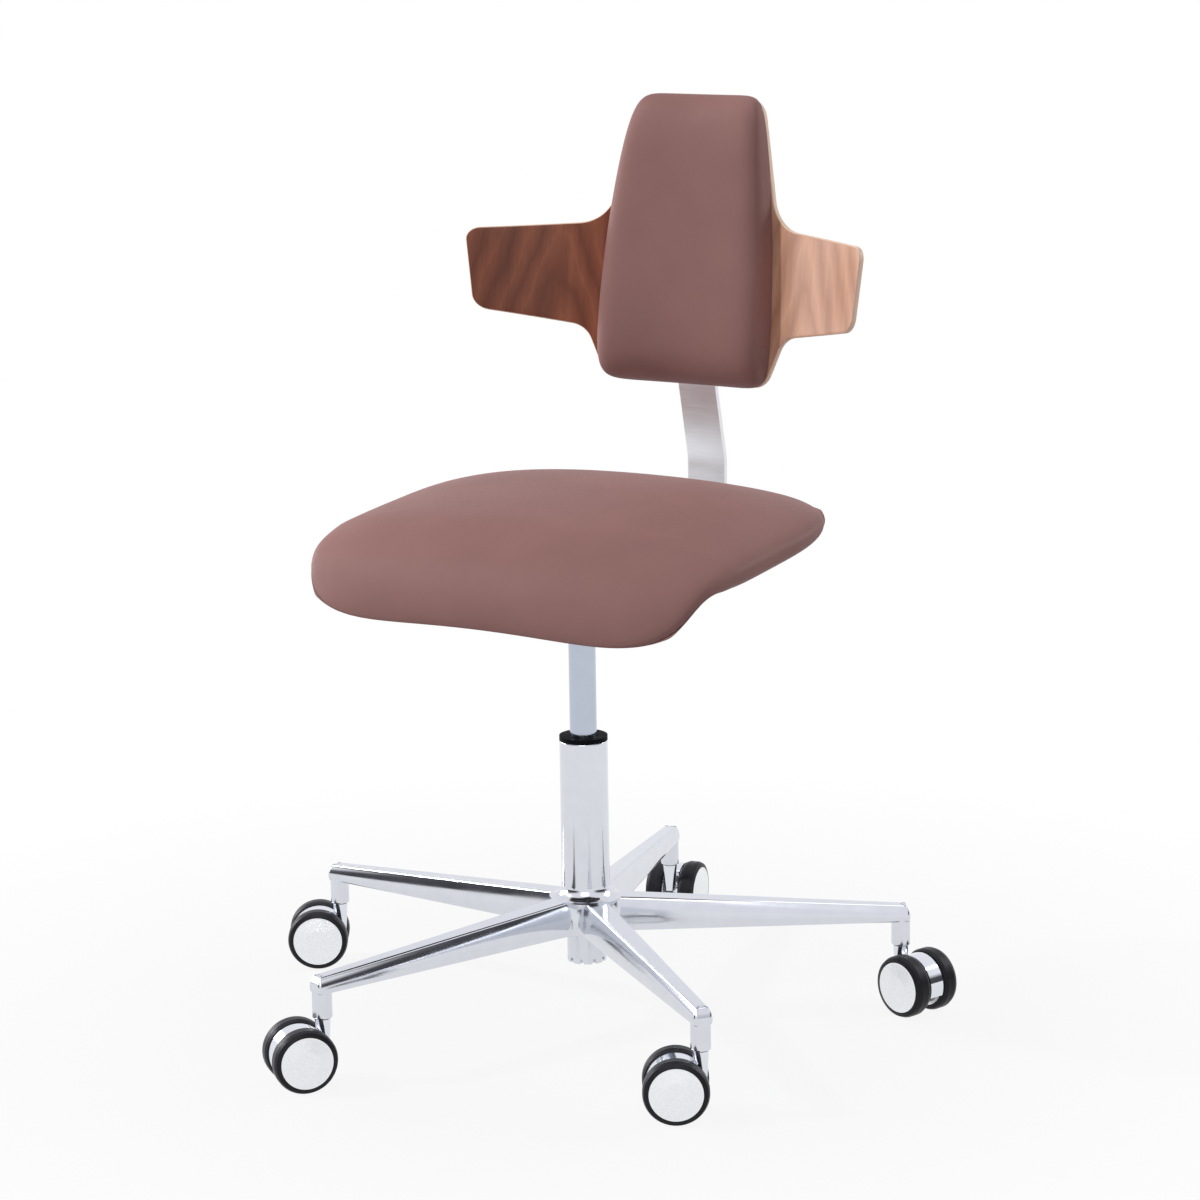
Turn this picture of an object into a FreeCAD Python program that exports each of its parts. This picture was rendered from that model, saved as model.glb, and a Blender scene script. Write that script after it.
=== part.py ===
"""Practitioner stool: five-star cast base, twin-wheel casters, gas lift, padded seat and cross-shaped back.

The origin is on the floor under the column. +Z is up and the seat faces -Y. Sizes are in millimetres.
"""
import FreeCAD, Part
import math
import os

V = FreeCAD.Vector

# Fits
RUNNING = 0.05              # radial clearance of a shaft that turns or slides in its bore
SLIDING = 0.2               # clearance each side of the flat bar in its guides
SOFT_GAP = 0.3              # between upholstery and what it rests on
LIFT_OFF = 0.3              # between faces that meet only when something is pressed or clamped

# Cast base: column, hub, arms and legs
COLUMN_D = 50.0
COLUMN_BORE = 44.0
COLUMN_TOP = 296.5
HUB_BOTTOM = 94.0
HUB_FLARE_R = 13.0          # concave blend from the column to the arms
ARM_COUNT = 5
ARM_FIRST_DEG = 33.4
ARM_ROOT_TOP = 132.5        # height of the arms' top line, carried in to the column's axis
ARM_TIP_TOP = 111.5
ARM_TIP_BOTTOM = 94.6
ARM_ROOT_WIDTH = 31.0
ARM_TIP_WIDTH = 20.0
ARM_POCKET_R = 11.0         # rounding between neighbouring arms at the hub
ARM_EDGE_R = 3.5
ARM_WALL = 4.0
LEG_CIRCLE_R = 328.8
LEG_D = 20.0
LEG_FLAT = 9.2              # from the stem's axis to the leg's flat outer face
LEG_BOTTOM = 69.0

# Collar, nut and thrust bearing of the column
COLLAR_TOP = 301.5
BUSH_BOTTOM = 222.0
NUT_BOTTOM = 60.0
NUT_FLANGE_D = 44.5
NUT_FLANGE_H = 7.0
NUT_BODY_D = 40.5
NUT_SPIGOT_D = 34.0
NUT_SPIGOT_H = 10.0
NUT_CAVITY_D = 30.0
NUT_FLOOR = 6.0
NUT_NOTCHES = 10
NUT_NOTCH_W = 4.0
NUT_NOTCH_H = 5.0
NUT_NOTCH_ROOT = 1.0        # wall left behind each notch
BEARING_D = 26.0
BEARING_H = 5.0
CLIP_D = 18.0
CLIP_H = 1.5
CLIP_RECESS = 2.5
CLIP_ROOM = 1.0             # round the clip in its recess
CLIP_SEAT = 0.4             # rod below the clip

# Gas lift
ROD_D = 10.0
ROD_SHOULDER_D = 22.0
ROD_SHOULDER_H = 4.0
TUBE_D = 28.0
TUBE_BORE = 24.0
TUBE_BOTTOM = 224.0
TUBE_TOP = 480.0
TUBE_TAPER_LENGTH = 38.0
TUBE_TAPER_TOP_D = 26.6
TUBE_HEAD = 12.0
ROD_GUIDE_H = 20.0
PISTON_H = 14.0
PISTON_GAP = 2.0
BEARING_ROOM = 1.0          # round the rod in the bearing
PIN_D = 8.0
PIN_RISE = 6.0
PIN_SUNK = 9.0

# Casters
WHEEL_D = 65.0
TRAIL = 24.2
WHEEL_GAP = 18.0
WHEEL_WIDTH = 21.5
WHEEL_HUB_D = 14.0
RIM_D = 52.8
RIM_WALL = 3.0
CAP_D = 49.8
CAP_PLATE = 3.0
CAP_DOME = 2.0
TYRE_SHOULDER = 5.0
WHEEL_PLAY = 0.4
AXLE_D = 6.0
HOOD_R = 30.0
HOOD_SHELL = 2.5
HOOD_WEB = 5.0
HOOD_FIRST_DEG = -18.0      # from the trailing side, over the top, to the neck
HOOD_LAST_DEG = 132.0
HOOD_BOSS_D = 13.0
NECK_TOP_D = 16.0
NECK_BOTTOM_D = 12.0
NECK_BOTTOM = 38.0
NECK_CLEARANCE = 1.2        # under the leg
STEM_D = 11.0
STEM_DEPTH = 30.0           # in the leg
STEM_PIN_D = 8.0
STEM_PIN_DEPTH = 22.0       # in the neck
STEM_COLLAR_D = 14.0
CASTER_TRAIL_DEG = (-18.4, 101.0, 213.0, 231.5, 211.5)

# Seat cushion, in a frame tilted about its middle
SEAT_Z = 522.4
SEAT_Y = -0.4
SEAT_TILT_DEG = 4.7
SEAT_HALF_WIDTH = 238.7
SEAT_REAR = 182.5
SEAT_FRONT = 217.0          # along the curve of the front roll
SEAT_REAR_CORNER = 3.24     # exponents of the rounded outline
SEAT_FRONT_CORNER = 4.86
SEAT_REAR_HALF = 33.0       # half thickness
SEAT_FRONT_HALF = 40.0
SEAT_EDGE = 1.37            # exponent of the thickness towards the ends
SEAT_ROLL_START = 94.8
SEAT_ROLL_R = 120.2
SEAT_FALL = 8.3             # how far the sides hang below the middle
SEAT_CORNER_DROP = 15.3     # how far the front corners hang further down
SEAT_CROWN = 2.5            # exponent of each cross-section
SEAT_WAIST = 0.79           # share of the lower half that is drawn in under the front roll
SEAT_WAIST_AT = 153.2
SEAT_WAIST_LENGTH = 32.5

# Seat pan and its screws
PAN_TOP = -12.0             # below the cushion's middle surface
PAN_THICKNESS = 12.0
PAN_HALF_WIDTH = 185.0
PAN_FRONT = -95.0
PAN_REAR = 118.0
PAN_CORNER_R = 45.0
SCREW_D = 6.0
SCREW_HEAD_D = 12.0
SCREW_HEAD_H = 3.5
SCREW_BITE = 9.0
SMALL_SCREW_D = 4.0
SMALL_HEAD_D = 9.0
SMALL_BITE = 5.6            # into the shell

# Seat plate, gas socket, lever
PLATE_THICKNESS = 3.0
PLATE_HALF_WIDTH = 90.0
PLATE_FRONT = -82.0
PLATE_REAR = 108.0
PLATE_CORNER_R = 14.0
PLATE_LIP = 12.0
PLATE_LIP_NOTCH = 36.0
PLATE_HOLE_X = 70.0
PLATE_HOLE_FRONT = -62.0
PLATE_HOLE_REAR = 88.0
SOCKET_D = 44.0
SOCKET_CAVITY_D = 34.0
EAR_X = -33.0
EAR_Z = 489.0
EAR_W = 12.0
EAR_T = 3.0
LEVER_PIN_D = 5.0
LEVER_HUB_D = 10.0
LEVER_HUB_W = 12.0
LEVER_D = 9.0
LEVER_KNEE_X = -115.0
LEVER_END_X = -168.0
LEVER_Z = 468.0
LEVER_BEND_R = 40.0
GRIP_LENGTH = 62.0
GRIP_W = 24.0
GRIP_T = 13.0
GRIP_OVERLAP = 26.0
GRIP_NECK_W = 14.4
GRIP_END_R = 9.6
GRIP_NECK_R = 4.0
GRIP_EDGE_R = 2.5
TONGUE_X = 6.0
TONGUE_W = 10.0
TONGUE_T = 4.0

# Back bar, its guide and clamp
BAR_WIDTH = 45.0
BAR_THICKNESS = 6.0
BAR_RUN_Z = 478.0           # middle of the run under the seat
BAR_FRONT_Y = 66.0
BAR_BACK_Y = 259.0          # middle of the upright
BAR_LOWER_R = 24.0
BAR_BEND_Z = 551.0
BAR_BEND_R = 55.0
BAR_KINK_H = -8.0           # second bend, along the back's lean
BAR_TOP_H = 196.0
GUIDE_FRONT_Y = 50.0
GUIDE_REAR_Y = 112.0
GUIDE_SIDE = 7.0
GUIDE_FLOOR = 7.0
CLAMP_Y = 86.0
CLAMP_D = 8.0
KNOB_D = 42.0
KNOB_H = 20.0
KNOB_NECK_D = 20.0
KNOB_NECK_H = 6.0
KNOB_LOBES = 5
KNOB_LOBE_D = 16.0
KNOB_CORE_D = 32.8
KNOB_STUD_SUNK = 12.0

# Back: a bent cross of plywood, leaned back, with a pad in front and a carrier behind
BACK_Y = 223.0              # front face of the shell at the height below
BACK_Z = 650.0
BACK_LEAN_DEG = 7.2
BACK_CURVE_R = 380.0        # of the front face, round an upright axis
SHELL_THICKNESS = 8.0
SHELL_TOP_H = 291.0
SHELL_BOTTOM_H = -14.0
SHELL_TOP_X = 73.5
SHELL_BOTTOM_X = 97.0
WING_TIP_X = 240.0
WING_TIP_LOW_X = 229.5
WING_TIP_TOP_H = 139.0
WING_TIP_LOW_H = 54.0
WING_ROOT_X = 102.5
WING_ROOT_TOP_H = 154.0
WING_ROOT_LOW_X = 121.0
WING_ROOT_LOW_H = 41.0
SHELL_TOP_R = 25.0
SHELL_BOTTOM_R = 24.0
WING_TOP_R = 13.0
WING_LOW_R = 18.0
WING_ROOT_R = 42.0
WING_ROOT_LOW_R = 26.0
PAD_MARGIN = 0.5            # of the shell above and below the pad
PAD_TOP_OVERHANG = 2.4      # of the pad beyond the shell's sides
PAD_BOTTOM_OVERHANG = 9.2
PAD_TAPER = 2.45            # exponent of the narrowing towards the top
PAD_CORNER = 11.0           # exponent of the pad's outline
PAD_THICKNESS = 48.0
PAD_TOP_THICKNESS = 30.0
PAD_EDGE = 1.45
PAD_CROWN = 4.4
CARRIER_LOW_H = 52.0
CARRIER_TOP_H = 172.0
CARRIER_WALL = 5.8          # between the shell and the bar
CARRIER_BACK = 7.0
CARRIER_SIDE = 13.0
CARRIER_CORNER_R = 9.0
CARRIER_SCREW_INSET = 12.0
CARRIER_SCREW_X = 29.0
BACK_KNOB_H = 112.0


def ring(outer_d, inner_d, bottom, top):
    """Upright tube on the column's axis."""
    body = Part.makeCylinder(outer_d / 2, top - bottom, V(0, 0, bottom))
    bore = Part.makeCylinder(inner_d / 2, top - bottom, V(0, 0, bottom))
    return body.cut(bore)


def disc(diameter, bottom, top):
    """Upright solid cylinder on the column's axis."""
    return Part.makeCylinder(diameter / 2, top - bottom, V(0, 0, bottom))


def rounded_wire(corners, to_space):
    """Closed outline through corners (a, b, radius), each rounded by its tangent arc."""
    count = len(corners)
    starts, middles, ends = [], [], []
    for i, (a, b, radius) in enumerate(corners):
        here = V(a, b, 0)
        before = V(corners[i - 1][0], corners[i - 1][1], 0).sub(here).normalize()
        after_corner = corners[(i + 1) % count]
        after = V(after_corner[0], after_corner[1], 0).sub(here).normalize()
        half = before.getAngle(after) / 2
        reach = radius / math.tan(half)
        inward = before.add(after).normalize()
        centre = here.add(inward * (radius / math.sin(half)))
        starts.append(here.add(before * reach))
        middles.append(centre.sub(inward * radius))
        ends.append(here.add(after * reach))
    edges = []
    for i in range(count):
        if corners[i][2] > 0:
            arc = Part.Arc(to_space(starts[i]), to_space(middles[i]), to_space(ends[i]))
            edges.append(arc.toShape())
        run = Part.LineSegment(to_space(ends[i]), to_space(starts[(i + 1) % count]))
        edges.append(run.toShape())
    return Part.Wire(Part.__sortEdges__(edges))


def in_plan(point):
    return V(point.x, point.y, 0)


def in_front_view(point):
    return V(point.x, 0, point.y)


def plate_of(corners, bottom, top):
    """Flat plate with a rounded outline in plan."""
    face = Part.Face(rounded_wire(corners, in_plan))
    face.translate(V(0, 0, bottom))
    return face.extrude(V(0, 0, top - bottom))


def revolved(profile, axis=V(0, 0, 1), base=V(0, 0, 0)):
    """Solid of revolution of a closed polygon of points."""
    wire = Part.makePolygon(profile + [profile[0]])
    return Part.Face(wire).revolve(base, axis, 360)


def turned(shape, degrees):
    """Copy of a shape turned about the column's axis."""
    copy = shape.copy()
    copy.rotate(V(0, 0, 0), V(0, 0, 1), degrees)
    return copy


def arm_angles():
    return [ARM_FIRST_DEG + 360.0 * i / ARM_COUNT for i in range(ARM_COUNT)]


def arm_top(radius, reach):
    """Height of the sloping top of the arms at a distance from the axis."""
    return ARM_ROOT_TOP + (ARM_TIP_TOP - ARM_ROOT_TOP) * radius / reach


def arm_bottom(radius, reach):
    return HUB_BOTTOM + (ARM_TIP_BOTTOM - HUB_BOTTOM) * radius / reach


def star_outline(reach):
    """Plan of hub and arms: tapered arms that meet in rounded pockets."""
    corners = []
    half_step = math.pi / ARM_COUNT
    pocket = ARM_ROOT_WIDTH / 2 / math.sin(half_step)
    for degrees in arm_angles():
        along = math.radians(degrees)
        for side in (-1, 1):
            across = along + math.pi / 2
            x = reach * math.cos(along) + side * ARM_TIP_WIDTH / 2 * math.cos(across)
            y = reach * math.sin(along) + side * ARM_TIP_WIDTH / 2 * math.sin(across)
            corners.append((x, y, ARM_EDGE_R))
        between = along + half_step
        corners.append((pocket * math.cos(between), pocket * math.sin(between), ARM_POCKET_R))
    return rounded_wire(corners, in_plan)


def make_base():
    """One casting: hollow column, flared hub, channel-section arms and legs with stem sockets."""
    reach = LEG_CIRCLE_R + LEG_FLAT
    wide = reach + LEG_D
    plan = Part.Face(star_outline(reach)).extrude(V(0, 0, COLUMN_TOP))
    slopes = revolved([V(0, 0, HUB_BOTTOM), V(wide, 0, arm_bottom(wide, reach)),
                       V(wide, 0, arm_top(wide, reach)), V(0, 0, ARM_ROOT_TOP)])
    star = plan.common(slopes)
    top_edges = []
    for edge in star.Edges:
        on_top = True
        halfway = (edge.FirstParameter + edge.LastParameter) / 2
        for parameter in (edge.FirstParameter, halfway, edge.LastParameter):
            point = edge.valueAt(parameter)
            on_top = on_top and abs(point.z - arm_top(math.hypot(point.x, point.y), reach)) < 0.05
        if on_top:
            top_edges.append(edge)
    star = star.makeFillet(ARM_EDGE_R, top_edges)

    column_r = COLUMN_D / 2
    flare_r = column_r + HUB_FLARE_R
    flare_z = arm_top(flare_r, reach)
    flare_centre = V(flare_r, 0, flare_z + HUB_FLARE_R)
    bow = flare_centre.add(V(-math.sqrt(0.5), 0, -math.sqrt(0.5)) * HUB_FLARE_R)
    flare_top = V(column_r, 0, flare_centre.z)
    flare_low = V(flare_r, 0, flare_z)
    outline = [
        Part.LineSegment(V(0, 0, HUB_BOTTOM), V(column_r, 0, HUB_BOTTOM)).toShape(),
        Part.LineSegment(V(column_r, 0, HUB_BOTTOM), V(column_r, 0, flare_z - HUB_FLARE_R)).toShape(),
        Part.LineSegment(V(column_r, 0, flare_z - HUB_FLARE_R), flare_low).toShape(),
        Part.Arc(flare_low, bow, flare_top).toShape(),
        Part.LineSegment(flare_top, V(column_r, 0, COLUMN_TOP)).toShape(),
        Part.LineSegment(V(column_r, 0, COLUMN_TOP), V(0, 0, COLUMN_TOP)).toShape(),
        Part.LineSegment(V(0, 0, COLUMN_TOP), V(0, 0, HUB_BOTTOM)).toShape(),
    ]
    column = Part.Face(Part.Wire(outline)).revolve(V(0, 0, 0), V(0, 0, 1), 360)

    leg_flat = Part.makeBox(LEG_D, LEG_D * 2, COLUMN_TOP, V(reach, -LEG_D, 0))
    leg_height = ARM_TIP_TOP - ARM_EDGE_R - LEG_BOTTOM
    leg = Part.makeCylinder(LEG_D / 2, leg_height, V(LEG_CIRCLE_R, 0, LEG_BOTTOM)).cut(leg_flat)
    socket = Part.makeCylinder(STEM_D / 2, STEM_DEPTH, V(LEG_CIRCLE_R, 0, LEG_BOTTOM))
    channel_start = column_r + ARM_POCKET_R + ARM_WALL
    channel_end = LEG_CIRCLE_R - LEG_D / 2 - ARM_WALL
    taper = (ARM_ROOT_WIDTH - ARM_TIP_WIDTH) / reach
    start_half = (ARM_ROOT_WIDTH - taper * channel_start) / 2 - ARM_WALL
    end_half = (ARM_ROOT_WIDTH - taper * channel_end) / 2 - ARM_WALL
    corners = [(channel_start, -start_half, ARM_EDGE_R), (channel_end, -end_half, ARM_EDGE_R),
               (channel_end, end_half, ARM_EDGE_R), (channel_start, start_half, ARM_EDGE_R)]
    channel = plate_of(corners, 0, COLUMN_TOP)
    roof = revolved([V(0, 0, 0), V(wide, 0, 0), V(wide, 0, arm_top(wide, reach) - ARM_WALL),
                     V(0, 0, ARM_ROOT_TOP - ARM_WALL)])
    channel = channel.common(roof)
    base = star.fuse([column] + [turned(leg, a) for a in arm_angles()])
    holes = [disc(COLUMN_BORE, HUB_BOTTOM + NUT_SPIGOT_H + ARM_WALL, COLUMN_TOP),
             disc(NUT_SPIGOT_D, HUB_BOTTOM, COLUMN_TOP)]
    for degrees in arm_angles():
        holes.append(turned(socket, degrees))
        holes.append(turned(channel, degrees))
    return base.cut(holes).removeSplitter()


def make_bush():
    """Black guide bush with the collar that caps the column."""
    bore = TUBE_D + 2 * RUNNING
    collar = ring(COLUMN_D, bore, COLUMN_TOP, COLLAR_TOP)
    return collar.fuse(ring(COLUMN_BORE, bore, BUSH_BOTTOM, COLUMN_TOP)).removeSplitter()


def make_nut():
    """Bottom nut: a cup that holds the thrust bearing, notched for its spanner."""
    body = disc(NUT_BODY_D, NUT_BOTTOM, HUB_BOTTOM)
    body = body.fuse([disc(NUT_FLANGE_D, HUB_BOTTOM - NUT_FLANGE_H, HUB_BOTTOM),
                      disc(NUT_SPIGOT_D, HUB_BOTTOM, HUB_BOTTOM + NUT_SPIGOT_H)])
    cuts = [disc(NUT_CAVITY_D, NUT_BOTTOM + CLIP_RECESS + NUT_FLOOR, HUB_BOTTOM + NUT_SPIGOT_H),
            disc(ROD_D + 2 * RUNNING, NUT_BOTTOM, HUB_BOTTOM),
            disc(CLIP_D + 2 * CLIP_ROOM, NUT_BOTTOM, NUT_BOTTOM + CLIP_RECESS)]
    notch = Part.makeBox(NUT_BODY_D, NUT_NOTCH_W, NUT_NOTCH_H,
                         V(NUT_CAVITY_D / 2 + NUT_NOTCH_ROOT, -NUT_NOTCH_W / 2, NUT_BOTTOM))
    for i in range(NUT_NOTCHES):
        cuts.append(turned(notch, 360.0 * i / NUT_NOTCHES))
    return body.cut(cuts).removeSplitter()


def bearing_seat():
    return NUT_BOTTOM + CLIP_RECESS + NUT_FLOOR


def make_bearing():
    """Thrust bearing that carries the rod's shoulder on the nut's floor."""
    return ring(BEARING_D, ROD_D + 2 * BEARING_ROOM, bearing_seat(), bearing_seat() + BEARING_H)


def piston_bottom():
    return TUBE_BOTTOM + ROD_GUIDE_H + PISTON_GAP


def make_rod():
    """Piston rod with the shoulder that stands on the thrust bearing."""
    shoulder = bearing_seat() + BEARING_H + RUNNING
    bottom = NUT_BOTTOM + CLIP_RECESS - CLIP_H - RUNNING - CLIP_SEAT
    rod = disc(ROD_D, bottom, piston_bottom() + PISTON_H)
    return rod.fuse(disc(ROD_SHOULDER_D, shoulder, shoulder + ROD_SHOULDER_H)).removeSplitter()


def make_clip():
    """Clip on the rod's end, in the recess under the nut."""
    top = NUT_BOTTOM + CLIP_RECESS - RUNNING
    return ring(CLIP_D, ROD_D, top - CLIP_H, top)


def make_piston():
    return ring(TUBE_BORE - 2 * RUNNING, ROD_D, piston_bottom(), piston_bottom() + PISTON_H)


def make_tube():
    """Pressure tube: plain below, tapered where it sits in the seat's socket, closed round the valve pin."""
    taper_start = TUBE_TOP - TUBE_TAPER_LENGTH
    body = revolved([V(0, 0, TUBE_BOTTOM), V(TUBE_D / 2, 0, TUBE_BOTTOM), V(TUBE_D / 2, 0, taper_start),
                     V(TUBE_TAPER_TOP_D / 2, 0, TUBE_TOP), V(0, 0, TUBE_TOP)])
    return body.cut([disc(TUBE_BORE, TUBE_BOTTOM, TUBE_TOP - TUBE_HEAD),
                     disc(PIN_D + 2 * RUNNING, TUBE_BOTTOM, TUBE_TOP)])


def make_rod_guide():
    return ring(TUBE_BORE, ROD_D + 2 * RUNNING, TUBE_BOTTOM, TUBE_BOTTOM + ROD_GUIDE_H)


def make_pin():
    return disc(PIN_D, TUBE_TOP - PIN_SUNK, TUBE_TOP + PIN_RISE)


def on_seat(shape):
    """Moves a shape from the seat's tilted frame to the stool."""
    copy = shape.copy()
    copy.rotate(V(0, 0, 0), V(1, 0, 0), SEAT_TILT_DEG)
    copy.translate(V(0, SEAT_Y, SEAT_Z))
    return copy


def plate_top():
    return PAN_TOP - PAN_THICKNESS


def above_plate():
    """Half-space over the seat plate's underside."""
    size = 4 * PLATE_REAR
    return on_seat(Part.makeBox(2 * size, 2 * size, size, V(-size, -size, plate_top() - PLATE_THICKNESS)))


def make_socket():
    """Tapered socket for the lift, with a slot and two ears for the lever, welded under the plate."""
    bottom = TUBE_TOP - TUBE_TAPER_LENGTH
    body = disc(SOCKET_D, bottom, SEAT_Z)
    floor = TUBE_TOP
    cone = revolved([V(0, 0, bottom), V(TUBE_D / 2, 0, bottom),
                     V(TUBE_TAPER_TOP_D / 2, 0, TUBE_TOP), V(0, 0, TUBE_TOP)])
    ear_outer = LEVER_HUB_W / 2 + SLIDING + EAR_T
    ears = []
    for y in (-ear_outer, ear_outer - EAR_T):
        ears.append(Part.makeBox(EAR_W / 2 - EAR_X, EAR_T, SEAT_Z - floor, V(EAR_X - EAR_W / 2, y, floor)))
    body = body.fuse(ears)
    slot = Part.makeBox(SOCKET_D, LEVER_HUB_W + 2 * SLIDING, SEAT_Z - floor,
                        V(-SOCKET_D, -LEVER_HUB_W / 2 - SLIDING, floor))
    pin_hole = Part.makeCylinder(LEVER_PIN_D / 2, 2 * ear_outer, V(EAR_X, -ear_outer, EAR_Z), V(0, 1, 0))
    cavity = disc(SOCKET_CAVITY_D, floor, SEAT_Z)
    return body.cut([cone, cavity, slot, pin_hole, above_plate()]).removeSplitter()


def hole_places():
    return [(x, y) for x in (-PLATE_HOLE_X, PLATE_HOLE_X) for y in (PLATE_HOLE_FRONT, PLATE_HOLE_REAR)]


def make_plate():
    """Pressed seat plate with turned-down side lips, notched where the lever passes."""
    top = plate_top()
    bottom = top - PLATE_THICKNESS
    w, r = PLATE_HALF_WIDTH, PLATE_CORNER_R
    corners = [(-w, PLATE_FRONT, r), (w, PLATE_FRONT, r), (w, PLATE_REAR, r), (-w, PLATE_REAR, r)]
    plate = plate_of(corners, bottom, top)
    lip_length = PLATE_REAR - PLATE_FRONT - 2 * PLATE_CORNER_R
    lips = []
    for x in (-PLATE_HALF_WIDTH, PLATE_HALF_WIDTH - PLATE_THICKNESS):
        lips.append(Part.makeBox(PLATE_THICKNESS, lip_length, PLATE_LIP,
                                 V(x, PLATE_FRONT + PLATE_CORNER_R, bottom - PLATE_LIP)))
    notch = Part.makeBox(4 * PLATE_HALF_WIDTH, PLATE_LIP_NOTCH, PLATE_LIP,
                         V(-2 * PLATE_HALF_WIDTH, -PLATE_LIP_NOTCH / 2, bottom - PLATE_LIP))
    holes = [Part.makeCylinder(SCREW_D / 2, PLATE_THICKNESS, V(x, y, bottom)) for x, y in hole_places()]
    return on_seat(plate.fuse(lips).cut([notch] + holes).removeSplitter())


def make_seat_screws():
    bottom = plate_top() - PLATE_THICKNESS
    screws = []
    for x, y in hole_places():
        head = Part.makeCylinder(SCREW_HEAD_D / 2, SCREW_HEAD_H, V(x, y, bottom - SCREW_HEAD_H))
        shank = Part.makeCylinder(SCREW_D / 2, PLATE_THICKNESS + SCREW_BITE, V(x, y, bottom))
        screws.append(on_seat(head.fuse(shank).removeSplitter()))
    return Part.makeCompound(screws)


def pan_corners(margin):
    half = PAN_HALF_WIDTH + margin
    front = PAN_FRONT - margin
    rear = PAN_REAR + margin
    corner = PAN_CORNER_R + margin
    return [(-half, front, corner), (half, front, corner), (half, rear, corner), (-half, rear, corner)]


def make_pan():
    """Plywood seat board that closes the cushion from below."""
    pan = plate_of(pan_corners(0), plate_top(), PAN_TOP)
    bites = [Part.makeCylinder(SCREW_D / 2, SCREW_BITE, V(x, y, plate_top())) for x, y in hole_places()]
    return on_seat(pan.cut(bites))


def signed_power(value, exponent):
    return math.copysign(abs(value) ** exponent, value)


def seat_section(share, flat=False):
    """Cross-section of the cushion at a share (-1 rear, 1 front) of its length, of eight short arcs.

    Half width w = W (1 - |s|^p)^(1/p). Half thickness t = T (1 - |s|^2e)^(1/e).
    Towards the front edge the corners drop by (x/W)^2, and a flat section drops as a whole.
    """
    rear = share < 0
    length = SEAT_REAR if rear else SEAT_FRONT
    corner = SEAT_REAR_CORNER if rear else SEAT_FRONT_CORNER
    along = share * length
    forward = (along + SEAT_REAR) / (SEAT_REAR + SEAT_FRONT)
    thick = SEAT_REAR_HALF + (SEAT_FRONT_HALF - SEAT_REAR_HALF) * forward
    half_width = SEAT_HALF_WIDTH * (1 - abs(share) ** corner) ** (1 / corner)
    half_thick = thick * (1 - abs(share) ** (2 * SEAT_EDGE)) ** (1 / SEAT_EDGE)
    drawn = math.exp(-((along - SEAT_WAIST_AT) / SEAT_WAIST_LENGTH) ** 2)
    waist = 1 - SEAT_WAIST * drawn
    fall = SEAT_FALL * (1 - drawn)
    past = max(along - SEAT_ROLL_START, 0.0)
    drop = SEAT_CORNER_DROP * past / (SEAT_FRONT - SEAT_ROLL_START)
    roll = past / SEAT_ROLL_R
    middle_y = -(min(along, SEAT_ROLL_START) + SEAT_ROLL_R * math.sin(roll))
    middle_z = -SEAT_ROLL_R * (1 - math.cos(roll))

    def point(degrees):
        c = math.cos(math.radians(degrees))
        s = math.sin(math.radians(degrees))
        x = half_width * signed_power(c, 2 / SEAT_CROWN)
        rise = half_thick * signed_power(s, 2 / SEAT_CROWN) * (1.0 if s > 0 else waist)
        rise -= fall * (x / SEAT_HALF_WIDTH) ** 2
        out = half_width / 2 if flat else x
        y = middle_y - rise * math.sin(roll)
        z = middle_z + rise * math.cos(roll) - drop * (out / SEAT_HALF_WIDTH) ** 2
        return V(x, y, z)

    arcs = []
    for first, middle, last in ((-12, 0, 12), (12, 30, 52), (52, 90, 128), (128, 150, 168),
                                (168, 180, 192), (192, 210, 232), (232, 270, 308), (308, 330, 348)):
        arcs.append(Part.Arc(point(first), point(middle), point(last)).toShape())
    return Part.Wire(arcs)


def make_cushion():
    """Seat cushion: crowned, drawn in at its edges, rolled down in front, hollow below for the board."""
    shares = (-0.99, -0.95, -0.85, -0.6, 0.0, 0.4, 0.52, 0.62, 0.72, 0.82, 0.9, 0.955, 0.985)
    sections = [seat_section(s, s == shares[-1]) for s in shares]
    form = Part.makeLoft(sections, True, True)
    pocket = plate_of(pan_corners(SOFT_GAP), PAN_TOP - 10 * PAN_THICKNESS, PAN_TOP + SOFT_GAP)
    return on_seat(form.cut(pocket))


def make_lever():
    """Height lever: a hub on the ears' pin, a tongue over the valve pin and a bent rod out to the grip."""
    hub = Part.makeCylinder(LEVER_HUB_D / 2, LEVER_HUB_W, V(EAR_X, -LEVER_HUB_W / 2, EAR_Z), V(0, 1, 0))
    tongue_bottom = TUBE_TOP + PIN_RISE + LIFT_OFF
    tongue = Part.makeBox(TONGUE_X - EAR_X, TONGUE_W, TONGUE_T, V(EAR_X, -TONGUE_W / 2, tongue_bottom))
    a = V(EAR_X, 0, EAR_Z)
    knee = V(LEVER_KNEE_X, 0, LEVER_Z)
    end = V(LEVER_END_X, 0, LEVER_Z)
    back = a.sub(knee).normalize()
    out = end.sub(knee).normalize()
    half = back.getAngle(out) / 2
    reach = LEVER_BEND_R / math.tan(half)
    inward = back.add(out).normalize()
    middle = knee.add(inward * (LEVER_BEND_R / math.sin(half) - LEVER_BEND_R))
    start_bend = knee.add(back * reach)
    end_bend = knee.add(out * reach)
    path = Part.Wire([Part.LineSegment(a, start_bend).toShape(),
                      Part.Arc(start_bend, middle, end_bend).toShape(),
                      Part.LineSegment(end_bend, end).toShape()])
    section = Part.Wire(Part.makeCircle(LEVER_D / 2, a, knee.sub(a)))
    rod = path.makePipeShell([section], True, False)
    bore = Part.makeCylinder(LEVER_PIN_D / 2 + RUNNING, LEVER_HUB_W,
                             V(EAR_X, -LEVER_HUB_W / 2, EAR_Z), V(0, 1, 0))
    return hub.fuse([tongue, rod]).cut(bore).removeSplitter()


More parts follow.
